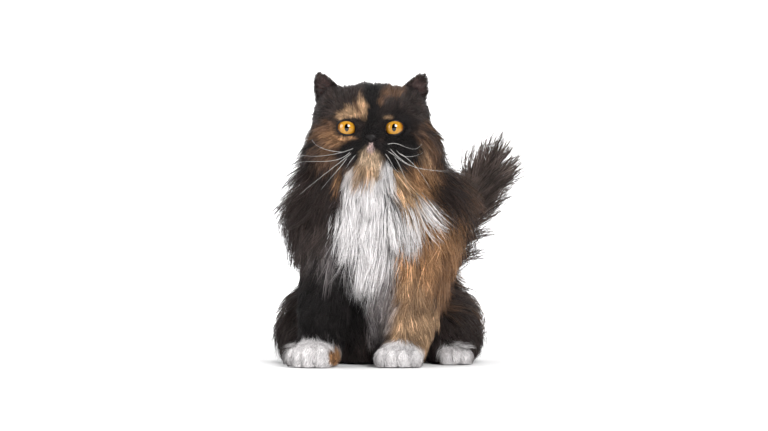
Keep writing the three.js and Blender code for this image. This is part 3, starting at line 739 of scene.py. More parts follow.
class CoatMap:
    """The lie, length and rise of the coat all over the body, evened between whorls."""

    whorls: tuple[Whorl, ...] = (
        Whorl((-1, -112, 309), (0, -0.1, 1), 3.2, 0.8, 7),
        Whorl((12, -116, 290), (0.8, 0.2, -0.6), 5, 1.4, 7),
        Whorl((28, -110, 280), (0.9, 0.3, -0.6), 9, 3.0, 9),
        Whorl((16, -108, 308), (0.35, 0, 0.9), 4, 1.0, 7),
        Whorl((30, -106, 297), (0.9, 0.2, -0.5), 8, 2.4, 8),
        Whorl((50, -98, 312), (1, 0.6, 0.1), 11, 3.6, 9),
        Whorl((60, -88, 292), (0.7, 0.5, -0.6), 24, 8.0, 12),
        Whorl((78, -66, 288), (0.9, 0.3, -0.8), 44, 26.0, 14),
        Whorl((56, -78, 260), (0.5, 0.1, -1), 44, 14.0, 14),
        Whorl((-1, -112, 288), (0, 0.05, -1), 3.5, 0.8, 5),
        Whorl((-1, -111, 274), (0, 0.05, -1), 8, 2.0, 8),
        Whorl((-1, -108, 260), (0, -0.1, -1), 22, 5.0, 10),
        Whorl((18, -100, 256), (0.3, -0.1, -1), 30, 8.0, 10),
        Whorl((30, -105, 330), (0.45, 0.2, 0.9), 11, 3.6, 9),
        Whorl((-1, -108, 340), (0, 0.3, 1), 13, 4.4, 11),
        Whorl((22, -92, 356), (0.25, 0.5, 0.9), 20, 9.0, 13),
        Whorl((-1, -70, 364), (0, 0.9, 0.5), 24, 9.0, 16),
        Whorl((48, -64, 356), (0.3, 0.4, 0.9), 22, 12.0, 12),
        Whorl((66, -76, 330), (0.5, 0.8, 0.0), 16, 3.0, 12),
        Whorl((76, -50, 318), (0.7, 0.5, -0.8), 34, 8.0, 14),
        Whorl((-84, -40, 302), (-0.9, 0.3, -0.6), 50, 26.0, 14, True),
        Whorl((-1, -14, 330), (0, 0.5, -0.9), 42, 13.0, 22),
        Whorl((50, -20, 310), (0.5, 0.6, -0.8), 48, 15.0, 20),
        Whorl((-1, 26, 262), (0, 0.6, -0.9), 62, 18.0, 26),
        Whorl((70, -24, 262), (1, 0.2, -0.8), 74, 36.0, 20),
        Whorl((88, -28, 216), (0.9, 0.0, -0.9), 76, 54.0, 20),
        Whorl((70, 4, 268), (1, 0.1, -0.25), 72, 54.0, 16, True),
        Whorl((-72, -24, 262), (-1, 0.05, -0.7), 74, 48.0, 16, True),
        Whorl((46, -74, 232), (0.45, -0.2, -1), 66, 22.0, 20),
        Whorl((-1, -86, 226), (0, -0.25, -1), 66, 20.0, 20),
        Whorl((-1, -88, 170), (0, 0.02, -1), 74, 19.0, 26),
        Whorl((44, -74, 160), (0.12, 0.02, -1), 64, 17.0, 24),
        Whorl((90, -16, 158), (0.1, 0.05, -1), 56, 10.0, 26),
        Whorl((36, 70, 240), (0.1, 0.8, -0.7), 66, 14.0, 30, True),
        Whorl((-50, 40, 190), (-0.2, 0.7, -0.9), 70, 15.0, 28, True),
        Whorl((110, 50, 180), (0.3, 0.7, -0.9), 74, 16.0, 28, True),
        Whorl((96, 60, 110), (0.2, 0.6, -1), 76, 17.0, 30),
        Whorl((16, 180, 90), (0, 0.6, -1), 66, 15.0, 34, True),
        Whorl((-112, 66, 50), (-0.4, 0.3, -1), 56, 18.0, 26, True),
        Whorl((136, 66, 50), (0.4, 0.3, -1), 60, 15.0, 26, True),
        Whorl((-96, -4, 34), (-0.4, 0.1, -1), 36, 12.0, 16, True),
        Whorl((118, -4, 34), (0.4, 0.1, -1), 36, 11.0, 16, True),
        Whorl((-62, -74, 120), (-0.1, 0, -1), 40, 8.0, 20, True),
        Whorl((72, -70, 120), (0.05, 0, -1), 44, 9.0, 20, True),
        Whorl((-66, -90, 70), (-0.1, 0.1, -1), 30, 8.0, 16, True),
        Whorl((58, -90, 74), (-0.05, 0.1, -1), 30, 7.0, 16, True),
        Whorl((-68, -92, 42), (-0.1, 0, -1), 20, 6.0, 12, True),
        Whorl((46, -90, 42), (-0.05, 0, -1), 19, 5.0, 12, True),
        Whorl((-62, -40, 70), (-0.1, 0.6, -1), 36, 8.0, 18, True),
        Whorl((58, -40, 76), (0.05, 0.6, -1), 38, 8.0, 18, True),
        Whorl((-4, -46, 90), (0, 0, -1), 56, 11.0, 22, True),
        Whorl((-2, -40, 50), (0, 0, -1), 44, 8.0, 20, True),
    )
    paw_length = 9.0
    paw_rise = 2.6
    tail_heights = (110.0, 240.0)
    tail_lengths = (54.0, 85.0)
    tail_rise = 40.0
    tail_densities = (2.2, 4.4)
    ear_length = 6.5
    ear_rise = 1.6

    def __init__(self) -> None:
        """Sets the whorls out on both sides."""
        places, lies, sizes = [], [], []
        for whorl in self.whorls:
            for side in (1,) if whorl.single or abs(whorl.place[0] + 1) < 1 else (1, -1):
                x = whorl.place[0] if side > 0 else 2 * FACE_MIDDLE + 2 - whorl.place[0]
                places.append((x, *whorl.place[1:]))
                lies.append((side * whorl.lie[0], *whorl.lie[1:]))
                sizes.append((whorl.length, whorl.rise, whorl.reach))
        self.places = np.array(places)
        self.lies = unit(np.array(lies))
        self.sizes = np.array(sizes)

    def at(self, points: Array) -> tuple[Array, Array, Array]:
        """The coat's growth at points.

        Args:
            points: places on the body.

        Returns:
            The way the coat lies, its length, and its rise.
        """
        away = ((points[:, None, :] - self.places) ** 2).sum(axis=-1) / (2 * self.sizes[:, 2] ** 2)
        weight = np.exp(away.min(axis=1, keepdims=True) - away)
        weight /= weight.sum(axis=1, keepdims=True)
        return unit(weight @ self.lies), weight @ self.sizes[:, 0], weight @ self.sizes[:, 1]

    def tail_length(self, points: Array) -> Array:
        """Length of the tail's hair at points, longest in the plume."""
        return np.interp(points[:, 2], self.tail_heights, self.tail_lengths)


class BakeChart:
    """A flat unwrap of the skin: every part of the body has six charts, one for each way it can face."""

    columns = len(Part)
    rows = 6
    margin = 0.06
    across = np.array([[1, 2], [0, 2], [0, 1]])

    def place(self, points: Array, normals: Array, parts: Array) -> Array:
        """Where points of the skin lie on the unwrap.

        Args:
            points: places on the skin.
            normals: the ways the skin faces there.
            parts: numbers of the parts of the body they belong to.

        Returns:
            Places from 0 to 1.
        """
        axis = np.abs(normals).argmax(axis=1)
        side = np.take_along_axis(normals, axis[:, None], axis=1)[:, 0] > 0
        other = self.across[axis]
        flat = np.take_along_axis(points, other, axis=1)
        low, size = self.box(points, parts)
        share = (flat - np.take_along_axis(low, other, axis=1)) / np.take_along_axis(size, other, axis=1)
        share = self.margin + (1 - 2 * self.margin) * np.clip(share, 0, 1)
        row = axis * 2 + side
        return np.stack([(parts + share[:, 0]) / self.columns, (row + share[:, 1]) / self.rows], axis=1)

    boxes = {
        Part.HEAD: ((-90, -125, 230), (180, 130, 150)),
        Part.TRUNK: ((-115, -105, -5), (260, 300, 310)),
        Part.HAUNCH_RIGHT: ((-130, -40, -5), (110, 190, 120)),
        Part.HAUNCH_LEFT: ((40, -40, -5), (110, 190, 120)),
        Part.FORELEG_RIGHT: ((-110, -120, -5), (90, 120, 180)),
        Part.FORELEG_LEFT: ((5, -120, -5), (110, 130, 190)),
        Part.PAWS: ((-130, -130, -5), (270, 170, 60)),
        Part.TAIL: ((0, 120, 20), (200, 110, 260)),
        Part.EARS: ((-100, -90, 320), (200, 60, 70)),
    }

    def box(self, points: Array, parts: Array) -> tuple[Array, Array]:
        """Lowest corner and size of the box that each point's chart covers."""
        table = np.array([self.boxes[part] for part in Part], float)
        return table[parts, 0], table[parts, 1]


MARKINGS = Markings()
COAT_MAP = CoatMap()
CHART = BakeChart()


def inner_ear(points: Array) -> Array:
    """How far points lie in the bare cup of an ear, 0 to 1."""
    share = np.zeros(len(points))
    for ear in BODY.ears:
        v, a, b = ear.local(points)
        half = np.maximum(ear.half_width(v), ear.least_half_width)
        u = np.clip(a / half, -1.5, 1.5)
        cup = b - ear.cup * (1 - np.clip(v, 0, 1)) * (half / (ear.width / 2)) * (u * u - 1) + ear.back
        depth = smooth_step(0.2, 1.2, cup) * (1 - smooth_step(4, 9, cup))
        share += depth * (1 - smooth_step(0.5, 0.9, np.abs(u))) * (1 - smooth_step(0.6, 0.9, v)) * (v > -0.3)
    return np.clip(share, 0, 1)


def part_of(points: Array) -> Array:
    """The number of the part that each point lies nearest to."""
    parts = BODY.parts(points)
    return np.argmin(np.stack([parts[part] for part in Part]), axis=0)


class Sketch:
    """A short way to write a node tree: each call adds a node, sets its inputs and links the rest."""

    def __init__(self, tree: bpy.types.NodeTree) -> None:
        """Works on one tree."""
        self.tree = tree

    def add(self, kind: str, settings: Optional[dict] = None, **inputs: object) -> bpy.types.Node:
        """Adds a node.

        Args:
            kind: the node's type.
            settings: its own properties, by name.
            inputs: values or output sockets for its inputs, by name with underscores for spaces,
                or by number as in i0.

        Returns:
            The node.
        """
        node = self.tree.nodes.new(kind)
        for name, value in (settings or {}).items():
            setattr(node, name, value)
        self.feed(node, **inputs)
        return node

    def feed(self, node: bpy.types.Node, **inputs: object) -> None:
        """Sets a node's inputs, named as add names them, to values, or links them to sockets."""
        for name, value in inputs.items():
            is_number = name[0] == "i" and name[1:].isdigit()
            socket = node.inputs[int(name[1:]) if is_number else name.replace("_", " ")]
            if isinstance(value, bpy.types.NodeSocket):
                self.tree.links.new(value, socket)
            else:
                socket.default_value = value

    def group(self, tree: bpy.types.NodeTree, **inputs: object) -> bpy.types.Node:
        """Places a node group."""
        return self.add("ShaderNodeGroup", {"node_tree": tree}, **inputs)

    def math(self, operation: str, *values: object) -> bpy.types.NodeSocket:
        """A Math node's output."""
        inputs = {f"i{index}": value for index, value in enumerate(values)}
        return self.add("ShaderNodeMath", {"operation": operation}, **inputs).outputs[0]

    def scaled(self, colour: bpy.types.NodeSocket, factor: bpy.types.NodeSocket) -> bpy.types.NodeSocket:
        """A colour made lighter or darker by a factor."""
        node = self.add("ShaderNodeVectorMath", {"operation": "SCALE"}, i0=colour, Scale=factor)
        return node.outputs[0]

    def span(self, value: object, low: object, high: object, start: float = 0, end: float = 1) -> object:
        """The socket of a value carried from the range of start and end to that of low and high."""
        return self.add("ShaderNodeMapRange", None, i0=value, i1=start, i2=end, i3=low, i4=high).outputs[0]

    def noise(self, place: object, scale: object, detail: float = 2.0) -> bpy.types.NodeSocket:
        """A Noise Texture's output."""
        return self.add("ShaderNodeTexNoise", None, Vector=place, Scale=scale, Detail=detail).outputs["Fac"]

    def attribute(self, name: str, kind: str = "Vector") -> bpy.types.NodeSocket:
        """An attribute of the piece, as a vector or as a colour."""
        return self.add("ShaderNodeAttribute", {"attribute_name": name}).outputs[kind]

    def bump(self, height: object, strength: float, distance: float) -> bpy.types.NodeSocket:
        """The normals of a surface with fine relief."""
        node = self.add("ShaderNodeBump", None, Strength=strength, Distance=distance, Height=height)
        return node.outputs[0]


class Kind(Enum):
    """Types of a node group's sockets."""

    COLOUR = "NodeSocketColor"
    NUMBER = "NodeSocketFloat"
    WHOLE = "NodeSocketInt"
    VECTOR = "NodeSocketVector"
    SHAPE = "NodeSocketGeometry"
    FINISH = "NodeSocketMaterial"


def new_group(
    name: str,
    tree_type: str,
    inputs: dict[str, Kind],
    outputs: dict[str, Kind],
) -> tuple[Sketch, object, bpy.types.Node]:
    """An empty node group with its sockets.

    Args:
        name: the group's name.
        tree_type: the type of its tree.
        inputs: socket types by name.
        outputs: socket types by name.

    Returns:
        A sketch of its tree, the sockets of its input node, and its output node.
    """
    tree = bpy.data.node_groups.new(name, tree_type)
    for direction, sockets in (("INPUT", inputs), ("OUTPUT", outputs)):
        for title, kind in sockets.items():
            tree.interface.new_socket(title, in_out=direction, socket_type=kind.value)
    sketch = Sketch(tree)
    return sketch, sketch.add("NodeGroupInput").outputs, sketch.add("NodeGroupOutput")


def strand_group() -> bpy.types.NodeTree:
    """Node group that turns a strand's marking into hair: darkened at the root as painted shade, streaked, and
    lightened at the tip as painted light.
    """
    sketch, given, result = new_group(
        "strand_shade",
        "ShaderNodeTree",
        {"Marking": Kind.COLOUR, "Strand": Kind.VECTOR, "Root Tone": Kind.NUMBER, "Tip Tone": Kind.NUMBER},
        {"Colour": Kind.COLOUR, "Roughness": Kind.NUMBER, "Height": Kind.NUMBER},
    )
    along, across, chance = sketch.add("ShaderNodeSeparateXYZ", None, i0=given["Strand"]).outputs
    # Painted shade at the root and painted light at the tip: the colour is darkened at the root and lightened
    # towards the tip.
    tone = sketch.add("ShaderNodeMix", None, Factor=along, A=given["Root Tone"], B=given["Tip Tone"])
    hair = sketch.add(
        "ShaderNodeCombineXYZ",
        None,
        X=sketch.math("MULTIPLY", across, 5.0),
        Y=sketch.math("MULTIPLY", along, 1.6),
        Z=sketch.math("MULTIPLY", chance, 90.0),
    )
    streak = sketch.noise(hair.outputs[0], 1.0)
    uneven = sketch.math("MULTIPLY", sketch.span(chance, 0.84, 1.16), sketch.span(streak, 0.7, 1.3))
    factor = sketch.math("MULTIPLY", tone.outputs[0], uneven)
    colour = sketch.scaled(given["Marking"], factor)
    sketch.feed(result, Colour=colour, Roughness=sketch.span(streak, 0.42, 0.62), Height=streak)
    return sketch.tree


def grain_group() -> bpy.types.NodeTree:
    """Node group for fine grain on Object coordinates: short pile on skin, pebbles on leather."""
    sketch, given, result = new_group(
        "fine_grain",
        "ShaderNodeTree",
        {"Colour": Kind.COLOUR, "Scale": Kind.NUMBER, "Depth": Kind.NUMBER, "Stretch": Kind.VECTOR},
        {"Colour": Kind.COLOUR, "Height": Kind.NUMBER},
    )
    place = sketch.add("ShaderNodeTexCoord").outputs["Object"]
    multiply = {"operation": "MULTIPLY"}
    drawn = sketch.add("ShaderNodeVectorMath", multiply, i0=place, i1=given["Stretch"]).outputs[0]
    noise = sketch.noise(drawn, given["Scale"], 4.0)
    cells = sketch.add("ShaderNodeTexVoronoi", None, Vector=drawn, Scale=given["Scale"]).outputs["Distance"]
    low = sketch.math("SUBTRACT", 1.0, given["Depth"])
    high = sketch.math("ADD", 1.0, given["Depth"])
    factor = sketch.span(noise, low, high, 0.3, 0.7)
    height = sketch.math("ADD", noise, sketch.math("MULTIPLY", cells, -0.5))
    sketch.feed(result, Colour=sketch.scaled(given["Colour"], factor), Height=height)
    return sketch.tree


def new_material(name: str) -> tuple[bpy.types.Material, Sketch, bpy.types.Node]:
    """A material with its sketch and its Principled shader."""
    material = bpy.data.materials.new(name)
    material.use_nodes = True
    return material, Sketch(material.node_tree), material.node_tree.nodes["Principled BSDF"]


@dataclass(frozen=True)
class FurFinish:
    """Finish of the strands."""

    # Painted shade and painted light: the strands' colour is darkened at the root and lightened at the tip.
    root_tone: float = 0.88
    tip_tone: float = 1.12
    relief: tuple[float, float] = (0.25, 0.0003)
    gloss: float = 0.15
    sheen: float = 0.03
    sheen_roughness: float = 0.4

    def make(self, group: bpy.types.NodeTree) -> bpy.types.Material:
        """Builds the material on the strand group."""
        material, sketch, shader = new_material("coat_fur")
        marking, strand = sketch.attribute("marking", "Color"), sketch.attribute("strand")
        tones = {"Root_Tone": self.root_tone, "Tip_Tone": self.tip_tone}
        shade = sketch.group(group, Marking=marking, Strand=strand, **tones).outputs
        sketch.feed(
            shader,
            Base_Color=shade["Colour"],
            Roughness=shade["Roughness"],
            Normal=sketch.bump(shade["Height"], *self.relief),
            Specular_IOR_Level=self.gloss,
            Sheen_Weight=self.sheen,
            Sheen_Roughness=self.sheen_roughness,
        )
        return material


@dataclass(frozen=True)
class PileFinish:
    """Finish of the skin under the coat, which carries the same markings as short pile."""

    scale: float = 700.0
    depth: float = 0.3
    stretch: Triple = (1, 1, 0.3)
    relief: tuple[float, float] = (0.6, 0.0006)
    roughness: float = 0.75
    gloss: float = 0.2

    def make(self, group: bpy.types.NodeTree) -> bpy.types.Material:
        """Builds the material on the grain group."""
        material, sketch, shader = new_material("skin_pile")
        marking = sketch.attribute("marking", "Color")
        measures = {"Scale": self.scale, "Depth": self.depth, "Stretch": self.stretch}
        grain = sketch.group(group, Colour=marking, **measures).outputs
        sketch.feed(
            shader,
            Base_Color=grain["Colour"],
            Normal=sketch.bump(grain["Height"], *self.relief),
            Roughness=self.roughness,
            Specular_IOR_Level=self.gloss,
        )
        return material


@dataclass(frozen=True)
class LeatherFinish:
    """Finish of bare moist skin: nose, lips and rims of the lids."""

    name: str
    colour: Triple
    roughness: float
    coat: float = 0.3
    gloss: float = 0.3
    coat_roughness: float = 0.25
    scale: float = 1400.0
    depth: float = 0.25
    relief: tuple[float, float] = (0.5, 0.0003)

    def make(self, group: bpy.types.NodeTree) -> bpy.types.Material:
        """Builds the material on the grain group."""
        material, sketch, shader = new_material(self.name)
        measures = {"Scale": self.scale, "Depth": self.depth, "Stretch": (1, 1, 1)}
        grain = sketch.group(group, Colour=(*self.colour, 1), **measures).outputs
        sketch.feed(
            shader,
            Base_Color=grain["Colour"],
            Normal=sketch.bump(grain["Height"], *self.relief),
            Roughness=self.roughness,
            Coat_Weight=self.coat,
            Coat_Roughness=self.coat_roughness,
            Specular_IOR_Level=self.gloss,
        )
        return material


@dataclass(frozen=True)
class IrisFinish:
    """Finish of the eyeball: upright pupil, amber iris with fibres, dark limbus, all under a wet surface."""

    pupil: tuple[float, float] = (0.225, 0.385)
    pupil_corners: float = 1.8
    pupil_edge: tuple[float, float] = (0.86, 1.16)
    iris_radius: float = 0.93
    inner_radius: float = 0.12
    middle_radii: tuple[float, float] = (0.34, 0.62)
    inner: Triple = (0.50, 0.27, 0.035)
    middle: Triple = (0.43, 0.20, 0.016)
    outer: Triple = (0.13, 0.042, 0.005)
    limbus: Triple = (0.012, 0.008, 0.006)
    flesh: Triple = (0.56, 0.36, 0.34)
    corner: Triple = (1.0, -0.2, 0.0)
    corner_sizes: tuple[float, float] = (0.17, 0.22)
    relief: tuple[float, float] = (0.3, 0.0002)
    roughness: float = 0.4
    wet_roughness: float = 0.03
    wet_index: float = 1.6

    def amber(self, sketch: Sketch, radius: object, fibre: object) -> bpy.types.NodeSocket:
        """Colour of the iris, from its middle out to the limbus.

        Args:
            sketch: the material's sketch.
            radius: socket of the distance from the middle of the eye.
            fibre: socket of the fibres' noise.

        Returns:
            The socket of the colour.
        """
        frayed = sketch.math("ADD", radius, sketch.span(fibre, -0.1, 0.1))
        ramp = sketch.add("ShaderNodeValToRGB", None, Fac=frayed)
        stops = ramp.color_ramp.elements
        stops[0].position, stops[0].color = self.inner_radius, (*self.inner, 1)
        stops[1].position, stops[1].color = self.iris_radius + 0.05, (*self.limbus, 1)
        for at, colour in (*((r, self.middle) for r in self.middle_radii), (self.iris_radius - 0.08, self.outer)):
            stops.new(at).color = (*colour, 1)
        return sketch.scaled(ramp.outputs["Color"], sketch.span(fibre, 0.6, 1.4))

    def outside_pupil(self, sketch: Sketch, x: object, z: object) -> bpy.types.NodeSocket:
        """Share of the iris that shows: 0 in the pupil, 1 outside it."""
        slit_x, slit_z = (sketch.math("DIVIDE", at, size) for at, size in zip((x, z), self.pupil))
        upright = sketch.math("POWER", sketch.math("ABSOLUTE", slit_x), self.pupil_corners)
        slit = sketch.math("ADD", upright, sketch.math("MULTIPLY", slit_z, slit_z))
        low, high = self.pupil_edge
        smooth = {"interpolation_type": "SMOOTHSTEP"}
        return sketch.add("ShaderNodeMapRange", smooth, i0=slit, i1=low, i2=high).outputs[0]

    def make(self) -> bpy.types.Material:
        """Builds the material on the eyeball's own attribute."""
        material, sketch, shader = new_material("eye_amber")
        place = sketch.attribute("iris")
        x, z, _ = sketch.add("ShaderNodeSeparateXYZ", None, i0=place).outputs
        radius = sketch.add("ShaderNodeVectorMath", {"operation": "LENGTH"}, i0=place).outputs["Value"]
        angle = sketch.math("ARCTAN2", z, x)
        fibre_place = sketch.add(
            "ShaderNodeCombineXYZ",
            None,
            X=sketch.math("MULTIPLY", sketch.math("COSINE", angle), 9.0),
            Y=sketch.math("MULTIPLY", sketch.math("SINE", angle), 9.0),
            Z=sketch.math("MULTIPLY", radius, 2.2),
        )
        fibre = sketch.noise(fibre_place.outputs[0], 1.6, 4.0)
        iris = sketch.scaled(self.amber(sketch, radius, fibre), self.outside_pupil(sketch, x, z))
        away = sketch.add("ShaderNodeVectorMath", {"operation": "DISTANCE"}, i0=place, i1=self.corner)
        flesh = sketch.span(away.outputs["Value"], 1, 0, *self.corner_sizes)
        mixed = sketch.add("ShaderNodeMix", {"data_type": "RGBA"}, Factor=flesh, i6=iris, i7=(*self.flesh, 1))
        sketch.feed(
            shader,
            Base_Color=mixed.outputs[2],
            Normal=sketch.bump(fibre, *self.relief),
            Roughness=self.roughness,
            Specular_IOR_Level=0.0,
            Coat_Weight=1.0,
            Coat_Roughness=self.wet_roughness,
            Coat_IOR=self.wet_index,
        )
        return material


@dataclass(frozen=True)
class HornFinish:
    """Finish of whiskers and other stiff single hairs."""

    name: str
    colour: Triple
    roughness: float = 0.3
    band_scale: float = 300.0

    def make(self) -> bpy.types.Material:
        """Builds the material, with faint bands along the hair."""
        material, sketch, shader = new_material(self.name)
        place = sketch.add("ShaderNodeTexCoord").outputs["Object"]
        bands = sketch.span(sketch.noise(place, self.band_scale), 0.8, 1.1)
        red, green, blue = self.colour
        tint = sketch.add("ShaderNodeCombineColor", None, i0=red, i1=green, i2=blue).outputs[0]
        sketch.feed(shader, Base_Color=sketch.scaled(tint, bands), Roughness=self.roughness)
        return material


@dataclass(frozen=True)
class PaperFinish:
    """Finish of the pale studio floor."""

    tone: float = 0.86
    mottle: float = 0.01
    scale: float = 4.0
    roughness: float = 0.9
    gloss: float = 0.1

    def make(self) -> bpy.types.Material:
        """Builds the material, with a faint mottle."""
        material, sketch, shader = new_material("studio_paper")
        place = sketch.add("ShaderNodeTexCoord").outputs["Object"]
        noise = sketch.noise(place, self.scale, 3.0)
        level = sketch.span(noise, self.tone - self.mottle, self.tone + self.mottle)
        grey = sketch.add("ShaderNodeCombineColor", None, i0=level, i1=level, i2=level).outputs[0]
        sketch.feed(shader, Base_Color=grey, Roughness=self.roughness, Specular_IOR_Level=self.gloss)
        return material


@dataclass
class Skin:
    """The one skin under the coat, as a net of quads over the whole body."""

    # Painted shade under the coat: the skin takes the markings darkened by this factor.
    under_coat_shade: float = 0.75
    step: float = 2.25
    low: Triple = (-132.0, -124.0, -4.5)
    high: Triple = (160.0, 216.0, 390.0)
    floor_gap: float = 0.3
    settle_rounds: int = 2

    def build(self, material: bpy.types.Material) -> bpy.types.Object:
        """Nets, settles and colours the skin, and lays it on its unwrap."""
        grid = DistanceGrid.sampled(skin_distance, self.low, self.high, self.step)
        grid.values[:, :, : int(-self.low[2] / self.step) + 1] = self.step
        vertices, self.quads = grid.net()
        above = vertices[:, 2] > 1.5 * self.step
        vertices[above] = settle(vertices[above], skin_distance, self.settle_rounds)
        vertices[:, 2] = np.maximum(vertices[:, 2], self.floor_gap)
        self.vertices = vertices
        corners = vertices[self.quads]
        self.cross = 0.5 * np.cross(corners[:, 2] - corners[:, 0], corners[:, 3] - corners[:, 1])
        self.centres = corners.mean(axis=1)
        self.parts = part_of(self.centres)
        piece = make_piece("skin", vertices, self.quads.ravel(), np.full(len(self.quads), 4))
        cup = inner_ear(vertices)[:, None] * (part_of(vertices) == Part.EARS.value)[:, None]
        # Painted shade: the markings are darkened on the skin under the coat.
        under = MARKINGS.colour(vertices) * self.under_coat_shade
        colour_points(piece, under + cup * (np.array(Shade.DUSK.value) - under))
        normals = np.repeat(unit(self.cross), 4, axis=0)
        unwrap(piece, CHART.place(corners.reshape(-1, 3), normals, np.repeat(self.parts, 4)))
        replaced = [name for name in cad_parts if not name.startswith(("eye", "nose"))]
        finish_piece(piece, material, replaced)
        return piece


class CoatPiece(Enum):
    """The pieces that the coat is parted into, each with its name and a slot name that is not used."""

    EARS = ("coat_ears", "black_fur")
    FACE = ("coat_face", "black_fur")
    HEAD = ("coat_head", "black_fur")
    RUFF_RIGHT = ("coat_ruff_right", "dark_fur")
    RUFF_LEFT = ("coat_ruff_left", "dark_fur")
    BIB = ("coat_bib", "white_fur")
    BACK_RIGHT = ("coat_back_right", "dark_fur")
    BACK_LEFT = ("coat_back_left", "dark_fur")
    HAUNCHES = ("coat_haunches", "dark_fur")
    FORELEG_RIGHT = ("coat_foreleg_right", "black_fur")
    FORELEG_LEFT = ("coat_foreleg_left", "ginger_fur")
    PAWS = ("coat_paws", "white_fur")
    TAIL = ("coat_tail", "dark_fur")


@dataclass(frozen=True)
class Spacing:
    """How many strands grow on a square millimetre of skin, by their length, part and place."""

    ground: float = 1.4
    short: float = 8.0
    thinning: float = 0.85
    rear_start: float = 10.0
    rear_share: float = 0.46
    between_legs_top: float = 90.0
    between_legs_share: float = 0.6
    paw_share: float = 0.47
    ear_share: float = 0.9
    cup_share: float = 0.75
    floor_gap: float = 2.5
    face_front: float = -84.0
    eye_window: tuple[float, float] = (12.6, 10.6)
    nose_window: tuple[float, float] = (7.6, 6.2)
    nose_place: tuple[float, float] = (-1.0, 300.0)

    def at(self, skin: Skin) -> Array:
        """Strands to a square millimetre, for each face of the skin."""
        centres = skin.centres
        on = {part: skin.parts == part.value for part in Part}
        _, length, _ = COAT_MAP.at(centres)
        length = np.where(on[Part.PAWS], COAT_MAP.paw_length, length)
        length = np.where(on[Part.EARS], COAT_MAP.ear_length, length)
        length = np.where(on[Part.TAIL], COAT_MAP.tail_length(centres), length)
        density = self.ground * (self.short / np.maximum(length, self.short)) ** self.thinning
        rear = centres[:, 1] > self.rear_start
        density *= np.where(rear, self.rear_share, 1.0)
        between_legs = on[Part.TRUNK] & ~rear & (centres[:, 2] < self.between_legs_top)
        density *= np.where(between_legs, self.between_legs_share, 1.0)
        bushy = np.interp(centres[:, 2], COAT_MAP.tail_heights, COAT_MAP.tail_densities)
        density *= np.where(on[Part.TAIL], bushy, 1.0)
        density *= np.where(on[Part.PAWS], self.paw_share, 1.0)
        density *= np.where(on[Part.EARS], self.ear_share - self.cup_share * inner_ear(centres), 1.0)
        return np.where(self.bare(centres), 0, density)

    def bare(self, centres: Array) -> Array:
        """Which places are bare: those on the floor, before the eyes and under the nose leather."""
        found = centres[:, 2] < self.floor_gap
        windows = [(eye_centre(side)[::2], self.eye_window) for side in (-1, 1)]
        for (x, z), (wide, high) in (*windows, (self.nose_place, self.nose_window)):
            near = ((centres[:, 0] - x) / wide) ** 2 + ((centres[:, 2] - z) / high) ** 2 < 1
            found |= near & (centres[:, 1] < self.face_front)
        return found


@dataclass(frozen=True)
class Habit:
    """How single strands differ from each other, run over the body and gather in clumps.

    A layer is how high in the coat a strand runs: its least share of the rise, the share that chance
    adds, and the power of the chance. A swirl is a seed, a size in millimetres and a strength.
    """

    lengths: tuple[float, float] = (0.7, 1.2)
    tail_lengths: tuple[float, float] = (0.85, 1.15)
    layer: Triple = (0.2, 0.95, 0.8)
    tufts: tuple[int, float, float] = (11, 30.0, 0.3)
    tuft_limits: tuple[float, float] = (-0.45, 0.55)
    tuft_lengths: tuple[float, float] = (10, 40)
    sway: float = 0.22
    sway_limit: float = 0.5
    swirls: tuple = ((8, 70.0, 0.26), (9, 26.0, 0.22))
    depth: float = 0.8
    root_share: float = 0.2
    root_lift: float = 0.35
    relax: float = 0.38
    push_out: float = 0.55
    floor: tuple[float, float] = (0.8, 2.5)
    tail_back: float = 0.8
    tail_reach: float = 0.85
    tail_turn: float = 0.3
    tail_bow: float = 1.4
    clump: int = 24
    pull: tuple[float, float] = (0.15, 0.95)
    pull_lengths: tuple[float, float] = (1, 26)
    pull_power: float = 1.3
    narrowing: float = 0.8
    wave: float = 0.035
    wave_turns: float = 1.6
    stray: float = 0.03
    lowest: float = 0.9
    clump_tone: float = 0.3
    strand_tone: float = 0.18
    # A few strands much lighter: partly lighter guard hairs, partly painted sheen on the dark fur.
    sheen_and_guard_share: float = 0.1
    sheen_and_guard_tone: float = 1.8


@dataclass
class Strands:
    """Many strands of the coat: roots, the ways the skin faces there, parts, lengths and middle lines."""

    roots: Array
    normals: Array
    parts: Array
    length: Array
    paths: Array
    ups: Array
    tones: Array


def strand_faces(rings: int) -> tuple[Array, Array]:
    """Faces of one closed three-sided strand.

    Args:
        rings: how many rings of corners it has below its tip.

    Returns:
        Corners of all faces, one face after another, and how many corners each face has.
    """
    ring = np.arange(3)
    after = (ring + 1) % 3
    starts = 3 * np.arange(rings - 1)[:, None]
    quads = np.stack([starts + ring, starts + 3 + ring, starts + 3 + after, starts + after], axis=2)
    last = 3 * (rings - 1)
    tips = np.stack([last + ring, np.full(3, last + 3), last + after], axis=1)
    corners = np.concatenate([ring, quads.ravel(), tips.ravel()])
    return corners, np.concatenate([[3], np.full(3 * (rings - 1), 4), [3, 3, 3]])


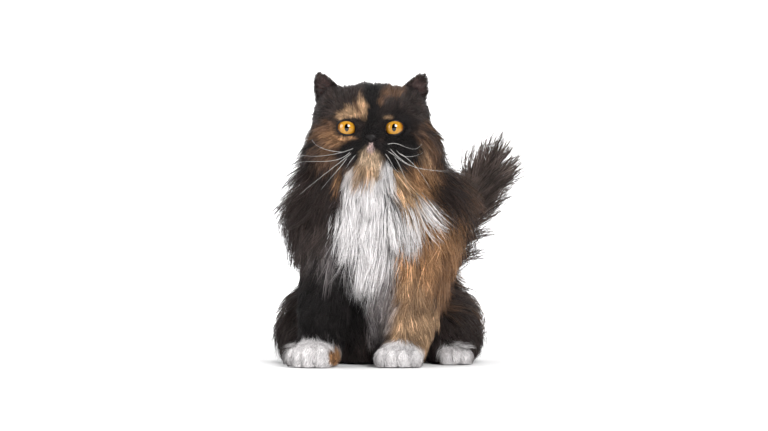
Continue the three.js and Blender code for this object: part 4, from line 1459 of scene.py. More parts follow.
@dataclass
class Coat:
    """The coat: tapered strands rooted all over the skin, in clumps, lying the way the fur grows."""

    seed: int = 29
    density: float = 1.0
    stations: int = 6
    spacing: Spacing = Spacing()
    habit: Habit = Habit()
    strand_limit: int = 190000
    lid_strands: int = 900
    patch: float = 0.003
    drape_box: tuple = ((-176, -170, -20), (236, 256, 420))
    drape_step: float = 4.0
    lid_fade: float = 5.0
    lid_turn: float = 2.2
    lid_thinning: tuple[float, float] = (0.5, 0.55)
    ring_lengths: tuple[float, float] = (13.0, 46.0)
    girth: tuple[float, float] = (0.54, 0.0052)
    girth_spread: tuple[float, float] = (0.8, 1.25)
    root_girth: tuple[float, float] = (0.6, 2.0)
    taper: float = 3.4
    ridge: tuple[float, float] = (0.12, 0.28)
    spin: float = 0.35
    mixing: float = 0.03
    cup_tone: float = 0.7
    pale: tuple[float, float] = (0.5, 0.25)

    def build(self, skin: Skin, material: bpy.types.Material) -> list[bpy.types.Object]:
        """Grows the whole coat.

        Args:
            skin: the skin that it is rooted in.
            material: the strands' finish.

        Returns:
            The pieces of the coat.
        """
        self.dice = np.random.default_rng(self.seed)
        self.drape = DistanceGrid.sampled(drape_distance, *self.drape_box, self.drape_step)
        strands = self.lay(*self.scatter(skin))
        self.gather(strands)
        self.tone(strands)
        labels = self.label(strands)
        pieces = []
        for number, kind in enumerate(CoatPiece):
            chosen = np.flatnonzero(labels == number)
            if len(chosen):
                pieces += self.weave(strands, chosen, kind, material)
        return pieces

    def scatter(self, skin: Skin) -> tuple[Array, Array, Array]:
        """Roots spread evenly over the skin and the lids, closer together where the coat is short.

        Args:
            skin: the skin.

        Returns:
            The roots, the ways the skin faces there, and their parts.
        """
        area = np.linalg.norm(skin.cross, axis=1)
        expected = area * self.spacing.at(skin) * self.density
        count = np.floor(expected + self.dice.random(len(expected))).astype(int)
        face = np.repeat(np.arange(len(count)), count)
        u, v = self.dice.random((2, len(face), 1))
        a, b, c, d = np.moveaxis(skin.vertices[skin.quads[face]], 1, 0)
        roots = [(a * (1 - u) + b * u) * (1 - v) + (d * (1 - u) + c * u) * v]
        normals, parts = [unit(skin.cross[face])], [skin.parts[face]]
        for lid in (Eyelid(-1), Eyelid(1)):
            on_lid, out = lid.scatter(self.dice, int(self.lid_strands * self.density))
            roots.append(on_lid)
            normals.append(out)
            parts.append(np.full(len(out), Part.HEAD.value))
        return np.concatenate(roots), np.concatenate(normals), np.concatenate(parts)

    def growth(self, points: Array, parts: Array) -> tuple[Array, Array, Array]:
        """The coat's growth for strands on given parts.

        Args:
            points: places on the body.
            parts: numbers of the parts that the strands are rooted in.

        Returns:
            The way the coat lies, its length, and its rise.
        """
        lie, length, rise = COAT_MAP.at(points)
        shorter, flatter = self.lid_thinning
        for side in (-1, 1):
            away = points - eye_centre(side)
            beyond = np.maximum(np.linalg.norm(away, axis=1) - LID_RADIUS, 0)
            near = np.exp(-((beyond / self.lid_fade) ** 2))
            away[:, 1] = 4.0
            lie = unit(lie + self.lid_turn * near[:, None] * unit(away))
            length, rise = length * (1 - shorter * near), rise * (1 - flatter * near)
        for paw in BODY.paws:
            far = np.hypot(points[:, 0] - paw.centre[0], points[:, 1] - paw.centre[1])
            near = (parts == Part.PAWS.value) & (far < paw.length)
            turn = math.radians(paw.heading)
            lie[near] = unit(np.array([0.8 * math.sin(turn), -0.8 * math.cos(turn), -0.6]))
            length[near], rise[near] = COAT_MAP.paw_length, COAT_MAP.paw_rise
        for ear in BODY.ears:
            near = (parts == Part.EARS.value) & (points[:, 0] * ear.side > 0)
            if near.any():
                up, across, _ = ear.axes()
                _, a, _ = ear.local(points[near])
                lie[near] = unit(unit(up) + 0.5 * across * (a / 12)[:, None])
                length[near], rise[near] = COAT_MAP.ear_length, COAT_MAP.ear_rise
        return lie, length, rise

    def tail_lie(self, points: Array) -> tuple[Array, Array]:
        """The tail's direction at points, and the way out of it."""
        line = np.array(BODY.tail_line, float)
        ways = np.diff(line, axis=0)
        best = np.full(len(points), np.inf)
        along, out = np.zeros((2, len(points), 3))
        for i, way in enumerate(ways):
            t = np.clip((points - line[i]) @ way / (way @ way), 0, 1)
            away = points - line[i] - t[:, None] * way
            size = np.linalg.norm(away, axis=1)
            closer = size < best
            before = unit(ways[i - 1]) if i else np.zeros(3)
            after = unit(ways[i + 1]) if i + 1 < len(ways) else np.zeros(3)
            early, late = np.maximum(0, 0.5 - t)[:, None], np.maximum(0, t - 0.5)[:, None]
            along[closer] = unit(unit(way) + early * before + late * after)[closer]
            out[closer] = unit(away)[closer]
            best = np.minimum(best, size)
        return along, out

    def lay(self, roots: Array, normals: Array, parts: Array) -> Strands:
        """Runs every strand's middle line from its root over the body, along the lie of the coat.

        Args:
            roots: the strands' roots.
            normals: the ways the skin faces there.
            parts: numbers of the parts that they are rooted in.

        Returns:
            The strands.
        """
        habit, n = self.habit, len(roots)
        on_tail, on_ear = parts == Part.TAIL.value, (parts == Part.EARS.value)[:, None]
        flow, length, rise = self.growth(roots, parts)
        length = np.where(on_tail, COAT_MAP.tail_length(roots), length)
        tail_share, share = self.dice.uniform(*habit.tail_lengths, n), self.dice.uniform(*habit.lengths, n)
        length *= np.where(on_tail, tail_share, share)
        least, more, power = habit.layer
        layer = least + more * self.dice.random(n) ** power
        seed, size, strength = habit.tufts
        tufts = np.clip(strength * Ripple(seed, size)(roots), *habit.tuft_limits)
        layer *= 1 + smooth_step(*habit.tuft_lengths, length) * tufts
        rise = np.where(on_tail, COAT_MAP.tail_rise, rise) * layer
        sway = np.clip(self.dice.normal(0, habit.sway, n), -habit.sway_limit, habit.sway_limit)
        swirl = sum(Ripple(seed, size)(roots) * strength for seed, size, strength in habit.swirls)
        paths, ups = np.empty((2, n, self.stations, 3))
        paths[:, 0], ups[:, 0] = roots - normals * habit.depth, normals
        step = (length / (self.stations - 1))[:, None]
        p = roots.copy()
        for k in range(1, self.stations):
            t = k / (self.stations - 1)
            up = np.where(on_ear, normals, self.drape.outward(p))
            if k < self.stations - 1:
                flow, _, high = self.growth(p, parts)
                rise = np.where(on_tail, rise, (1 - habit.relax) * rise + habit.relax * high * layer)
            way = flow + np.cross(up, flow) * (swirl + sway * t)[:, None]
            p = p + unit(way - up * (way * up).sum(axis=1, keepdims=True)) * step
            up = np.where(on_ear, normals, self.drape.outward(p))
            lift = habit.root_lift + (1 - habit.root_lift) * (t - habit.root_share) / (1 - habit.root_share)
            short_of = rise * lift - self.drape.at(p)
            short_of = np.where(short_of < 0, habit.push_out * short_of, short_of)
            off_ear = normals * (rise / (self.stations - 1))[:, None]
            p = np.where(on_ear, p + off_ear, p + up * short_of[:, None])
            p[:, 2] = np.maximum(p[:, 2], habit.floor[0] + habit.floor[1] * (1 - t))
            paths[:, k], ups[:, k] = p, up
        strands = Strands(roots, normals, parts, length, paths, ups, np.ones(n))
        if on_tail.any():
            self.bush(strands, np.flatnonzero(on_tail), rise[on_tail])
        return strands

    def bush(self, strands: Strands, chosen: Array, rise: Array) -> None:
        """Stands the tail's strands out round it.

        Args:
            strands: all strands.
            chosen: numbers of those on the tail.
            rise: how far each of their tips stands out.
        """
        habit = self.habit
        along, out = self.tail_lie(strands.roots[chosen])
        t = np.linspace(0, 1, self.stations)[None, :, None]
        size = strands.length[chosen][:, None, None]
        stand = (rise * (1 - habit.tail_back * np.maximum(out[:, 1], 0)))[:, None, None]
        turned = np.cross(along, out) * self.dice.normal(0, habit.tail_turn, (len(chosen), 1))
        root = (strands.roots[chosen] - habit.depth * out)[:, None]
        bow = (out + turned)[:, None] * stand * (1 - (1 - t) ** habit.tail_bow)
        strands.paths[chosen] = root + along[:, None] * size * t * habit.tail_reach + bow
        strands.ups[chosen] = out[:, None]

    def gather(self, strands: Strands) -> None:
        """Draws strands together into clumps towards their tips, as long fur does."""
        habit, n = self.habit, len(strands.roots)
        chosen = self.dice.permutation(n)[: max(n // habit.clump, 1)]
        tree = KDTree(len(chosen))
        for i, guide in enumerate(chosen):
            tree.insert(strands.roots[guide], i)
        tree.balance()
        self.guides = chosen[np.array([tree.find(root)[1] for root in strands.roots])]
        t = np.linspace(0, 1, self.stations)[None, :, None]
        offset = (strands.roots - strands.roots[self.guides])[:, None]
        aim = strands.paths[self.guides] + offset * (1 - habit.narrowing * t)
        pull = self.dice.uniform(*habit.pull, n)[self.guides]
        pull = pull * smooth_step(*habit.pull_lengths, strands.length)
        strands.paths += pull[:, None, None] * t**habit.pull_power * (aim - strands.paths)
        size = strands.length[:, None, None]
        wave = self.dice.normal(0, 1, (n, 1, 3))[self.guides] * habit.wave * size
        strands.paths += wave * np.sin(t * math.pi * habit.wave_turns) * t
        stray = self.dice.normal(0, habit.stray, (n, 1, 3)) * size
        strands.paths += stray * t**2
        strands.paths[:, :, 2] = np.maximum(strands.paths[:, :, 2], habit.lowest)

    def tone(self, strands: Strands) -> None:
        """Makes clumps and strands lighter and darker, and a few strands much lighter, partly as lighter guard
        hairs and partly as painted sheen.
        """
        habit, n = self.habit, len(strands.roots)
        tone = np.exp(self.dice.normal(0, habit.clump_tone, n))[self.guides]
        tone = tone * np.exp(self.dice.normal(0, habit.strand_tone, n))
        # Partly lighter guard hairs, partly painted sheen.
        sheen_and_guard = self.dice.random(n) < habit.sheen_and_guard_share
        strands.tones = np.where(sheen_and_guard, habit.sheen_and_guard_tone * tone, tone)

    def label(self, strands: Strands) -> Array:
        """The number of the coat piece that each strand belongs to."""
        ruff_foot, spine, face_front, face_length = 180, 14, -72, 14
        number = {kind: index for index, kind in enumerate(CoatPiece)}
        x, y, z = strands.roots.T
        face = (y < face_front) & (strands.length < face_length)
        trunk_kinds = (CoatPiece.RUFF_RIGHT, CoatPiece.RUFF_LEFT, CoatPiece.BIB, CoatPiece.BACK_RIGHT)
        trunk = np.select(
            [(z > ruff_foot) & (x < 0), z > ruff_foot, y < 0, x < spine],
            [number[kind] for kind in trunk_kinds],
            number[CoatPiece.BACK_LEFT],
        )
        by_part = {
            Part.HEAD: np.where(face, number[CoatPiece.FACE], number[CoatPiece.HEAD]),
            Part.TRUNK: trunk,
            Part.HAUNCH_RIGHT: number[CoatPiece.HAUNCHES],
            Part.HAUNCH_LEFT: number[CoatPiece.HAUNCHES],
            Part.FORELEG_RIGHT: number[CoatPiece.FORELEG_RIGHT],
            Part.FORELEG_LEFT: number[CoatPiece.FORELEG_LEFT],
            Part.PAWS: number[CoatPiece.PAWS],
            Part.TAIL: number[CoatPiece.TAIL],
            Part.EARS: number[CoatPiece.EARS],
        }
        labels = np.zeros(len(x), int)
        for part, kind_number in by_part.items():
            labels = np.where(strands.parts == part.value, kind_number, labels)
        return labels

    def weave(
        self,
        strands: Strands,
        chosen: Array,
        kind: CoatPiece,
        material: bpy.types.Material,
    ) -> list[bpy.types.Object]:
        """Meshes of one piece of the coat, in as many parts as the limit of triangles needs.

        Args:
            strands: all strands.
            chosen: numbers of those in the piece.
            kind: which piece it is.
            material: its finish.

        Returns:
            The parts of the piece.
        """
        rings = 2 + np.digitize(strands.length[chosen], self.ring_lengths)
        triangles = 6 * rings - 2
        parts = math.ceil(triangles.sum() / self.strand_limit)
        order = np.argsort(strands.roots[chosen, 2], kind="stable")
        title, slot = kind.value
        pieces = []
        for number, group in enumerate(np.array_split(order, parts), 1):
            name = f"{title}_{number}" if parts > 1 else title
            piece = self.mesh(strands, chosen[group], rings[group], name)
            finish_piece(piece, material)
            pieces.append(piece)
        return pieces

    def outline(self, strands: Strands, picked: Array, rings: int) -> Array:
        """Corners of three-sided strands, ring by ring, then the tip.

        Args:
            strands: all strands.
            picked: numbers of those that are shaped.
            rings: how many rings each has below its tip.

        Returns:
            Corners, as strands by corners by three.
        """
        at = np.linspace(0, 1, rings + 1)
        cell = at * (self.stations - 1)
        low = np.minimum(cell.astype(int), self.stations - 2)
        share = (cell - low)[None, :, None]
        lines = strands.paths[picked]
        line = lines[:, low] * (1 - share) + lines[:, low + 1] * share
        way = unit(np.gradient(line, axis=1))
        side = unit(np.cross(way, strands.ups[picked][:, low]))
        up = np.cross(side, way)
        spin = self.dice.normal(0, self.spin, (len(picked), 1, 1))
        side, up = side * np.cos(spin) + up * np.sin(spin), up * np.cos(spin) - side * np.sin(spin)
        least, more = self.root_girth
        girth = (self.girth[0] + self.girth[1] * strands.length[picked])[:, None]
        wide = girth * np.minimum(1, least + more * at) * (1 - at**self.taper)
        wide = (wide * self.dice.uniform(*self.girth_spread, (len(picked), 1)))[:, :-1, None]
        body, side, up = line[:, :-1], side[:, :-1], up[:, :-1]
        below, above = self.ridge
        right = body - side * wide / 2 - up * wide * below
        left = body + side * wide / 2 - up * wide * below
        corners = np.stack([right, left, body + up * wide * above], axis=2)
        return np.concatenate([corners.reshape(len(picked), rings * 3, 3), line[:, -1:]], axis=1)

    def tint(self, strands: Strands, picked: Array) -> Array:
        """One colour for each strand: the marking half way along it, toned, and dusky in an ear's cup."""
        mixing = (self.mixing * strands.length[picked])[:, None]
        halfway = strands.paths[picked][:, self.stations // 2]
        colour = MARKINGS.colour(halfway + self.dice.normal(0, 1, (len(picked), 3)) * mixing)
        in_ear = (strands.parts[picked] == Part.EARS.value) * inner_ear(strands.roots[picked])
        colour += in_ear[:, None] * (self.cup_tone * np.array(Shade.DUSK.value) - colour)
        threshold, pale_power = self.pale
        power = np.where(colour.mean(axis=1, keepdims=True) > threshold, pale_power, 1.0)
        return colour * strands.tones[picked][:, None] ** power

    def mesh(self, strands: Strands, chosen: Array, rings: Array, name: str) -> bpy.types.Object:
        """One mesh of closed three-sided strands.

        Args:
            strands: all strands.
            chosen: numbers of those in this mesh.
            rings: how many rings each of them has below its tip.
            name: the piece's name.

        Returns:
            The piece.
        """
        points, loops, sizes, colours, bakes, marks = [], [], [], [], [], []
        start = 0
        for count in np.unique(rings):
            picked = chosen[rings == count]
            corners = self.outline(strands, picked, count)
            size = corners.shape[1]
            pattern, pattern_sizes = strand_faces(count)
            bases = start + np.arange(len(picked)) * size
            points.append(corners.reshape(-1, 3))
            loops.append((bases[:, None] + pattern).ravel())
            sizes.append(np.tile(pattern_sizes, len(picked)))
            colours.append(np.repeat(self.tint(strands, picked), size, axis=0))
            along = np.append(np.repeat(np.linspace(0, 1, count + 1)[:-1], 3), 1)
            across = np.append(np.tile([0, 1, 0.5], count), 0.5)
            chance = np.repeat(self.dice.random(len(picked)), size)
            mark = np.stack([np.tile(along, len(picked)), np.tile(across, len(picked)), chance], axis=1)
            marks.append(mark)
            home = CHART.place(strands.roots[picked], strands.normals[picked], strands.parts[picked])
            bakes.append(np.repeat(home, size, axis=0) + (mark[:, 1::-1] - 0.5) * self.patch)
            start += len(picked) * size
        corner_order = np.concatenate(loops)
        piece = make_piece(name, np.concatenate(points), corner_order, np.concatenate(sizes))
        colour_points(piece, np.concatenate(colours))
        mark_points(piece, "strand", np.concatenate(marks))
        unwrap(piece, np.concatenate(bakes)[corner_order])
        return piece


@dataclass
class Eye:
    """One eyeball, turned on the axis of its gaze."""

    side: int
    rings: int = 22
    sectors: int = 48

    def build(self, material: bpy.types.Material) -> bpy.types.Object:
        """Builds the ball as rings round the gaze, closest together at the front."""
        centre = eye_centre(self.side)
        tilt = math.pi * (np.arange(1, self.rings) / self.rings) ** 1.3
        turn = np.arange(self.sectors) / self.sectors * 2 * math.pi
        radius = EYE_RADIUS * np.sin(tilt)[:, None]
        depth = np.broadcast_to(-EYE_RADIUS * np.cos(tilt)[:, None], (self.rings - 1, self.sectors))
        shell = np.stack([radius * np.cos(turn), depth, radius * np.sin(turn)], axis=-1).reshape(-1, 3)
        shell = np.concatenate([shell, [[0, -EYE_RADIUS, 0], [0, EYE_RADIUS, 0]]])
        front, back = len(shell) - 2, len(shell) - 1
        loops, sizes = [], []
        here = np.arange(self.sectors)
        after = (here + 1) % self.sectors
        for r in range(self.rings - 2):
            a, b = r * self.sectors, (r + 1) * self.sectors
            loops.append(np.stack([a + here, b + here, b + after, a + after], axis=1).ravel())
            sizes.append(np.full(self.sectors, 4))
        last = (self.rings - 2) * self.sectors
        loops.append(np.stack([here, after, np.full(self.sectors, front)], axis=1).ravel())
        loops.append(np.stack([last + after, last + here, np.full(self.sectors, back)], axis=1).ravel())
        sizes += [np.full(self.sectors, 3)] * 2
        name = "eye_ball_right" if self.side < 0 else "eye_ball_left"
        piece = make_piece(name, shell + centre, np.concatenate(loops), np.concatenate(sizes))
        place = np.stack([-self.side * shell[:, 0], shell[:, 2], np.zeros(len(shell))], axis=1) / EYE_RADIUS
        place[shell[:, 1] > 0] = (2, 2, 0)
        mark_points(piece, "iris", place)
        finish_piece(piece, material, ["eye_right" if self.side < 0 else "eye_left"])
        return piece


def band_piece(name: str, rings: Array, closed: bool) -> bpy.types.Object:
    """A tube through rings of points, closed into a loop or capped at both ends.

    Args:
        name: the object's name.
        rings: points as stations by corners by three.
        closed: whether the last ring joins the first.

    Returns:
        The object.
    """
    stations, size = rings.shape[:2]
    here = np.arange(size)
    after = (here + 1) % size
    loops, sizes = [], []
    for r in range(stations if closed else stations - 1):
        a, b = r * size, (r + 1) % stations * size
        loops.append(np.stack([a + here, a + after, b + after, b + here], axis=1).ravel())
        sizes.append(np.full(size, 4))
    if not closed:
        loops += [here[::-1], (stations - 1) * size + here]
        sizes.append([size, size])
    points = rings.reshape(-1, 3)
    piece = make_piece(name, points, np.concatenate(loops), np.concatenate(sizes))
    return facing_out(piece)


def facing_out(piece: bpy.types.Object) -> bpy.types.Object:
    """Turns a closed piece's faces outwards, if its volume says that they point in."""
    mesh = piece.data
    mesh.calc_loop_triangles()
    points = np.empty(len(mesh.vertices) * 3, np.float32)
    mesh.vertices.foreach_get("co", points)
    corners = np.empty(len(mesh.loop_triangles) * 3, np.int32)
    mesh.loop_triangles.foreach_get("vertices", corners)
    a, b, c = np.moveaxis(points.reshape(-1, 3)[corners.reshape(-1, 3)], 1, 0)
    if (a * np.cross(b, c)).sum() < 0:
        mesh.flip_normals()
    return piece


@dataclass
class Eyelid:
    """The lid round one eye: a shell over the ball with an almond opening, thick at its moist rim."""

    side: int
    half_width: float = 12.4
    half_height: float = 8.3
    corner_reach: float = 0.9
    corner_drop: float = 1.8
    slant: float = 7.0
    stations: int = 64
    section: tuple[tuple[float, float], ...] = (
        (0.0, -1.2),
        (0.0, 0.5),
        (0.08, 1.1),
        (0.28, 1.3),
        (0.55, 1.0),
        (0.9, 0.6),
        (0.9, -1.0),
        (0.4, -1.6),
    )

    def opening(self, turn: Array) -> tuple[Array, Array]:
        """Turn from the gaze to the rim, and the way outwards across the eye, round the opening."""
        corner = np.maximum(0, -np.cos(turn) * self.side) ** 8
        x = np.cos(turn) * self.half_width - self.side * corner * self.corner_reach
        z = np.sin(turn) * self.half_height - corner * self.corner_drop
        slant = math.radians(self.slant) * self.side
        x, z = x * math.cos(slant) - z * math.sin(slant), z * math.cos(slant) + x * math.sin(slant)
        rim = np.arcsin(np.minimum(np.hypot(x, z) / EYE_RADIUS, 0.96))
        return rim, unit(np.stack([x, np.zeros_like(x), z], axis=-1))

    def scatter(self, dice: np.random.Generator, count: int) -> tuple[Array, Array]:
        """Roots of short hairs over the lid behind its rim, and the ways out of it."""
        rim, across = self.opening(dice.uniform(0, 2 * math.pi, count))
        back = (rim + dice.uniform(0.1, 0.75, count))[:, None]
        out = across * np.sin(back) + np.array([0.0, -1.0, 0.0]) * np.cos(back)
        return eye_centre(self.side) + out * (EYE_RADIUS + 1.0), out

    def build(self, material: bpy.types.Material) -> bpy.types.Object:
        """Builds the lid as a ring of sections, each given as turn from the rim and height over the ball."""
        rim, across = self.opening(np.arange(self.stations) / self.stations * 2 * math.pi)
        ahead = np.array([0.0, -1.0, 0.0])
        rings = []
        for back, proud in self.section:
            turned = (rim + back)[:, None]
            rings.append((EYE_RADIUS + proud) * (across * np.sin(turned) + ahead * np.cos(turned)))
        sections = np.stack(rings, axis=1) + eye_centre(self.side)
        piece = band_piece("eyelid_right" if self.side < 0 else "eyelid_left", sections, closed=True)
        finish_piece(piece, material)
        return piece


@dataclass
class Nose:
    """The nose leather, with its wings, comma-shaped nostrils and middle furrow."""

    pad: tuple = (
        Ball((-1, -110.6, 301), (6.8, 5.6, 4.2)),
        Ball((-1, -110.6, 297), (4, 5.4, 4.6)),
        Ball((-5.6, -112, 299.4), (3.2, 3.6, 2.8)),
        Ball((3.6, -112, 299.4), (3.2, 3.6, 2.8)),
    )
    cuts: tuple = (
        Limb((-4.2, -119, 299.6), (-7.6, -115, 301.8), (1.5, 1.0)),
        Limb((2.2, -119, 299.6), (5.6, -115, 301.8), (1.5, 1.0)),
        Limb((-1, -118.4, 303), (-1, -117.4, 292), (0.55, 0.7)),
    )

    def distance(self, points: Array) -> Array:
        """Distance to the nose leather."""
        body = melted(self.pad, 2.5, points)
        for cut in self.cuts:
            body = np.maximum(body, -cut.distance(points))
        return body

    def build(self, material: bpy.types.Material) -> bpy.types.Object:
        """Nets the nose finely."""
        grid = DistanceGrid.sampled(self.distance, (-13, -121, 289), (11, -103, 310), 0.45)
        vertices, quads = grid.net()
        piece = make_piece("nose_leather", vertices, quads.ravel(), np.full(len(quads), 4))
        finish_piece(piece, material, ["nose"])
        return piece


@dataclass
class Lips:
    """The dark line of the mouth, from under the nose to both corners."""

    lines: tuple = (
        ((-1, 293), (-1, 290), (-1, 287)),
        ((-1, 287), (-7, 280.5), (-14, 274), (-24, 266), (-35, 261)),
        ((-1, 287), (5.5, 280.5), (12, 274), (21, 264), (31, 258)),
    )
    radius: float = 1.1
    sides: int = 8

    def build(self, material: bpy.types.Material) -> list[bpy.types.Object]:
        """Builds each line as a tapered roll pressed into the face."""
        pieces = []
        for number, line in enumerate(self.lines, 1):
            points = np.array(line, float)
            knots = np.linspace(0, len(points) - 1, 20)
            x = np.interp(knots, range(len(points)), points[:, 0])
            z = np.interp(knots, range(len(points)), points[:, 1])
            middle = on_face(x, z) + np.array([0, SKIN_INSET[Part.HEAD] - 0.5, 0])
            way = unit(np.gradient(middle, axis=0))
            side = unit(np.cross(way, np.array([0, -1.0, 0])))
            up = np.cross(side, way)
            turn = np.arange(self.sides) / self.sides * 2 * math.pi
            girth = self.radius * (1 - 0.6 * np.linspace(0, 1, 20) ** 2)[:, None, None]
            circle = side[:, None] * np.cos(turn)[:, None] + up[:, None] * np.sin(turn)[:, None]
            piece = band_piece(f"lip_{number}", middle[:, None] + girth * circle, closed=False)
            finish_piece(piece, material)
            pieces.append(piece)
        return pieces


def sweep_tree() -> bpy.types.NodeTree:
    """Geometry Nodes that sweep a tapering round hair along every line of a mesh."""
    inputs = {
        "Geometry": Kind.SHAPE,
        "Root Radius": Kind.NUMBER,
        "Tip Radius": Kind.NUMBER,
        "Sides": Kind.WHOLE,
        "Material": Kind.FINISH,
    }
    sketch, given, result = new_group("hair_sweep", "GeometryNodeTree", inputs, {"Geometry": Kind.SHAPE})
    named = sketch.add("GeometryNodeInputNamedAttribute", {"data_type": "FLOAT"}, Name="along")
    root, tip = given["Root Radius"], given["Tip Radius"]
    girth = sketch.add("ShaderNodeMapRange", None, i0=named.outputs["Attribute"], i3=root, i4=tip).outputs[0]
    curve = sketch.add("GeometryNodeMeshToCurve", None, Mesh=given["Geometry"]).outputs[0]
    sized = sketch.add("GeometryNodeSetCurveRadius", None, Curve=curve, Radius=girth).outputs[0]
    circle = sketch.add("GeometryNodeCurvePrimitiveCircle", None, Resolution=given["Sides"], Radius=1.0)
    ring = circle.outputs[0]
    swept = sketch.add("GeometryNodeCurveToMesh", None, Curve=sized, Profile_Curve=ring, Fill_Caps=True)
    if "Scale" in swept.inputs:
        sketch.tree.links.new(girth, swept.inputs["Scale"])
    real = sketch.add("GeometryNodeRealizeInstances", None, Geometry=swept.outputs[0]).outputs[0]
    dressed = sketch.add("GeometryNodeSetMaterial", None, Geometry=real, Material=given["Material"])
    sketch.feed(result, Geometry=dressed.outputs[0])
    return sketch.tree


def swept_hairs(
    name: str,
    lines: Sequence[Array],
    radii: tuple[float, float],
    tree: bpy.types.NodeTree,
    material: bpy.types.Material,
) -> bpy.types.Object:
    """Single hairs along lines of points, swept by Geometry Nodes and turned into a plain mesh.

    Args:
        name: the object's name.
        lines: for each hair its points, in millimetres.
        radii: radius at the root and at the tip, in millimetres.
        tree: the sweeping node tree.
        material: the hairs' finish.

    Returns:
        The object.
    """
    mesh = bpy.data.meshes.new(name + "_lines")
    points = np.concatenate(lines)
    edges, start = [], 0
    for line in lines:
        edges += [(start + i, start + i + 1) for i in range(len(line) - 1)]
        start += len(line)
    mesh.from_pydata(((points + HOME) * MM).tolist(), edges, [])
    along = np.concatenate([np.linspace(0, 1, len(line)) for line in lines])
    mesh.attributes.new("along", "FLOAT", "POINT").data.foreach_set("value", along.astype(np.float32))
    source = bpy.data.objects.new(name + "_source", mesh)
    bpy.context.scene.collection.objects.link(source)
    modifier = source.modifiers.new("sweep", "NODES")
    modifier.node_group = tree
    values = {"Root Radius": radii[0] * MM, "Tip Radius": radii[1] * MM, "Sides": 6, "Material": material}
    for item in tree.interface.items_tree:
        if item.in_out == "INPUT" and item.name in values:
            modifier[item.identifier] = values[item.name]
    graph = bpy.context.evaluated_depsgraph_get()
    made = bpy.data.meshes.new_from_object(source.evaluated_get(graph))
    source.modifiers.remove(modifier)
    bpy.data.objects.remove(source)
    piece = bpy.data.objects.new(name, made)
    made.name = name
    made.shade_smooth()
    bpy.context.scene.collection.objects.link(piece)
    return piece


def bent_line(knots: Sequence[Triple], count: int = 14) -> Array:
    """A smooth line of points through a few knots, as one Bezier-like sweep of low order."""
    knots = np.array(knots, float)
    share = np.linspace(0, 1, len(knots))
    t = np.linspace(0, 1, count)
    order = min(3, len(knots) - 1)
    return np.stack([np.polyval(np.polyfit(share, knots[:, axis], order), t) for axis in range(3)], axis=1)


@dataclass
class Whiskers:
    """Whiskers of both sides. Each is set out by its knots: across and height, then also the depth."""

    knots: tuple = (
        ((-22, 286), (-42, 279, -118), (-68, 275, -112), (-94, 277, -100)),
        ((-24, 281), (-40, 268, -120), (-58, 254, -118), (-76, 240, -112), (-94, 225, -104)),
        ((-26, 283), (-46, 270, -118), (-70, 268, -112), (-94, 267, -104)),
        ((-30, 276), (-40, 262, -120), (-52, 248, -120), (-66, 232, -116)),
        ((-34, 280), (-54, 282, -116), (-70, 288, -108), (-78, 297, -100)),
        ((-20, 278), (-28, 268, -120), (-34, 258, -120)),
        ((18, 283), (31, 274, -120), (44, 265, -120), (60, 260, -114), (98, 254, -96)),
        ((16, 279), (24, 268, -122), (30, 258, -122), (37, 254, -120)),
        ((31, 285), (41, 275, -120), (55, 275, -116), (68, 281, -108)),
        ((18, 289), (31, 291, -118), (43, 287, -116), (55, 284, -112), (65, 291, -104)),
        ((22, 286), (38, 270, -121), (53, 262, -118), (72, 257, -112), (100, 256, -98)),
        ((34, 280), (50, 268, -118), (64, 252, -114), (76, 232, -106)),
        ((28, 276), (36, 262, -121), (42, 248, -120), (46, 236, -116)),
    )
    radii: tuple[float, float] = (0.2, 0.045)

    def build(self, tree: bpy.types.NodeTree, material: bpy.types.Material) -> bpy.types.Object:
        """Roots each whisker in the face and sweeps it."""
        lines = []
        for first, *rest in self.knots:
            x, z = np.array(first, float)[:, None]
            root = on_face(x, z)[0] + np.array([0, 2.0, 0])
            lines.append(bent_line([tuple(root), *((x, y, z) for x, z, y in rest)]))
        piece = swept_hairs("whiskers", lines, self.radii, tree, material)
        finish_piece(piece, material)
        return piece


@dataclass
class EarHair:
    """Long dark hairs that curl out of the cup of each ear, and shorter ones across it."""

    seed: int = 71
    count: int = 24
    radii: tuple[float, float] = (0.42, 0.16)
    tips_right: tuple = ((46, 5), (43, 1), (40, -1), (36, 4), (32, 2))
    tips_left: tuple = ((44, 7), (41, 3), (38, 1), (35, 5), (31, 3))

    def build(self, tree: bpy.types.NodeTree, material: bpy.types.Material) -> bpy.types.Object:
        """Roots the hairs along the inner edge of each ear and sweeps them outwards."""
        dice = np.random.default_rng(self.seed)
        lines = []
        for ear in BODY.ears:
            rise, across, front = ear.axes()
            outward = across * (1 if across[0] * ear.side > 0 else -1)
            for _ in range(self.count):
                v, u = dice.uniform(-0.1, 0.45), dice.uniform(-0.95, 0.1)
                root = np.array(ear.root) + rise * v + outward * u * ear.half_width(np.array(v)) - front * 6
                reach = dice.uniform(9, 20)
                tip = root + outward * reach + rise * dice.uniform(0.1, 0.4) + front * dice.uniform(6, 14)
                middle = (root + tip) / 2 + front * dice.uniform(3, 8) - unit(rise) * dice.uniform(0, 3)
                lines.append(bent_line([tuple(root), tuple(middle), tuple(tip)], 8))
            for reach, lift in self.tips_right if ear.side < 0 else self.tips_left:
                root = np.array(ear.root) + rise * 0.02 + outward * -6 - front * 3
                tip = np.array(ear.root) + outward * reach + np.array([0, -6, lift - 6.0])
                middle = np.array(ear.root) + outward * reach * 0.55 + np.array([0, -16, lift * 0.3 - 6])
                lines.append(bent_line([tuple(root), tuple(middle), tuple(tip)], 10))
        piece = swept_hairs("ear_hair", lines, self.radii, tree, material)
        finish_piece(piece, material)
        return piece


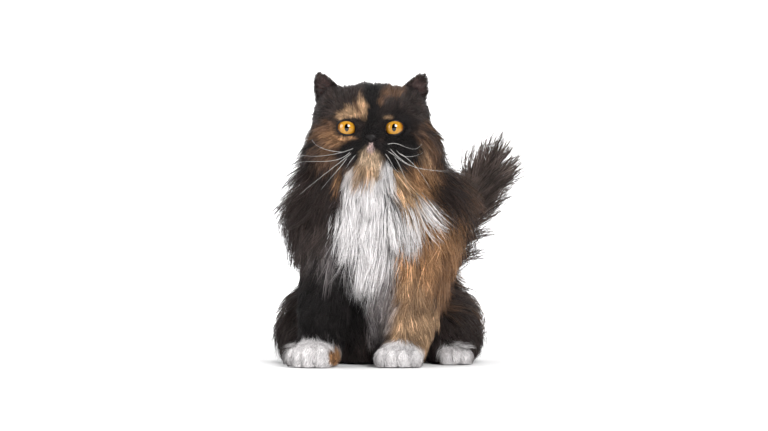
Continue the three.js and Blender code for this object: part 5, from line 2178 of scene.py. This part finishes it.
@dataclass
class Studio:
    """Pale floor that sweeps up into a backdrop, soft lights and the camera of the photograph.

    A light is its name, its place and aim in metres, its size and its power.
    """

    frame_width: int = 768
    millimetres_per_pixel: float = 1.3
    subject_distance: float = 4000.0
    camera_place: Triple = (15.6, -4100.0, 198.0)
    sensor: float = 36.0
    floor_front: float = -6.0
    floor_back: float = 5.0
    sweep_radius: float = 1.2
    backdrop_height: float = 4.5
    half_width: float = 6.0
    sky: tuple[float, float] = (0.42, 1.1)
    clip_end: float = 50
    lights: tuple = (
        ("key", (1.02, -2.6, 1.45), (0.0, 0.0, 0.2), 1.2, 108.0),
        ("fill", (-3.0, -1.3, 1.2), (0.0, 0.0, 0.2), 2.0, 76.0),
        ("top", (0.0, 0.2, 2.4), (0.0, 0.0, 0.2), 1.8, 34.0),
        ("rim_left", (2.0, 1.6, 1.3), (0.0, 0.0, 0.2), 1.2, 22.0),
        ("rim_right", (-2.0, 1.6, 1.3), (0.0, 0.0, 0.2), 1.2, 22.0),
        ("backdrop", (0.0, 2.2, 3.2), (0.0, 6.0, 0.6), 2.8, 520.0),
    )

    def build(self, material: bpy.types.Material) -> None:
        """Builds floor, lights, world and camera."""
        self.build_floor(material)
        self.build_lights()
        self.build_camera()

    def build_floor(self, material: bpy.types.Material) -> None:
        """Sweeps the floor's profile across."""
        turn = np.linspace(0, math.pi / 2, 17)
        wall = self.floor_back + self.sweep_radius
        y = np.concatenate([[self.floor_front], self.floor_back + self.sweep_radius * np.sin(turn), [wall]])
        z = np.concatenate([[0], self.sweep_radius * (1 - np.cos(turn)), [self.backdrop_height]])
        profile = np.stack([np.zeros_like(y), y, z], axis=1)
        rows = np.concatenate([profile - [self.half_width, 0, 0], profile + [self.half_width, 0, 0]])
        n = len(profile)
        faces = [(i, i + n, i + n + 1, i + 1) for i in range(n - 1)]
        mesh = bpy.data.meshes.new("studio_floor")
        mesh.from_pydata(rows.tolist(), [], faces)
        mesh.shade_smooth()
        mesh.materials.append(material)
        floor = bpy.data.objects.new("studio_floor", mesh)
        bpy.context.scene.collection.objects.link(floor)

    def build_lights(self) -> None:
        """Soft boxes all round, in a world that is dim where the cat looks and pale behind it."""
        for name, place, target, size, power in self.lights:
            light = bpy.data.lights.new(name, "AREA")
            light.size, light.energy = size, power
            holder = bpy.data.objects.new(name, light)
            holder.location = place
            aim = Vector(target) - Vector(place)
            holder.rotation_euler = aim.to_track_quat("-Z", "Y").to_euler()
            bpy.context.scene.collection.objects.link(holder)
        world = bpy.data.worlds.new("studio")
        world.use_nodes = True
        sketch = Sketch(world.node_tree)
        way = sketch.add("ShaderNodeTexCoord").outputs["Generated"]
        ahead = sketch.add("ShaderNodeSeparateXYZ", None, i0=way).outputs["Y"]
        sky = world.node_tree.nodes["Background"]
        world.node_tree.links.new(sketch.span(ahead, *self.sky, start=-1), sky.inputs["Strength"])
        bpy.context.scene.world = world
        bpy.context.scene.view_settings.view_transform = "Standard"

    def build_camera(self) -> None:
        """Sets the camera level, at the photograph's distance and framing."""
        camera = bpy.data.cameras.new("camera")
        camera.sensor_width = self.sensor
        camera.lens = self.sensor * self.subject_distance / (self.frame_width * self.millimetres_per_pixel)
        camera.clip_end = self.clip_end
        holder = bpy.data.objects.new("camera", camera)
        holder.location = Vector((np.array(self.camera_place) + HOME) * MM)
        holder.rotation_euler = (math.pi / 2, 0, 0)
        bpy.context.scene.collection.objects.link(holder)
        bpy.context.scene.camera = holder


def main() -> None:
    """Builds the cat and its studio."""
    logging.basicConfig(level=logging.INFO, format="%(name)s: %(message)s")
    strand, grain = strand_group(), grain_group()
    Studio().build(PaperFinish().make())
    skin = Skin()
    skin.build(PileFinish().make(grain))
    Coat(density=1.0).build(skin, FurFinish().make(strand))
    amber = IrisFinish().make()
    rim = LeatherFinish("lid_rim", (0.006, 0.0045, 0.0045), 0.5, coat=0.05, gloss=0.2).make(grain)
    leather = LeatherFinish("nose_black", (0.007, 0.0055, 0.0055), 0.55, coat=0.03, gloss=0.18).make(grain)
    for side in (-1, 1):
        Eye(side).build(amber)
        Eyelid(side).build(rim)
    Nose().build(leather)
    Lips().build(LeatherFinish("lip_dark", (0.03, 0.017, 0.016), 0.4).make(grain))
    sweep = sweep_tree()
    Whiskers().build(sweep, HornFinish("whisker_white", (0.85, 0.83, 0.8)).make())
    EarHair().build(sweep, HornFinish("ear_hair_dark", (0.03, 0.022, 0.02), 0.4).make())


if __name__ == "__main__":
    main()
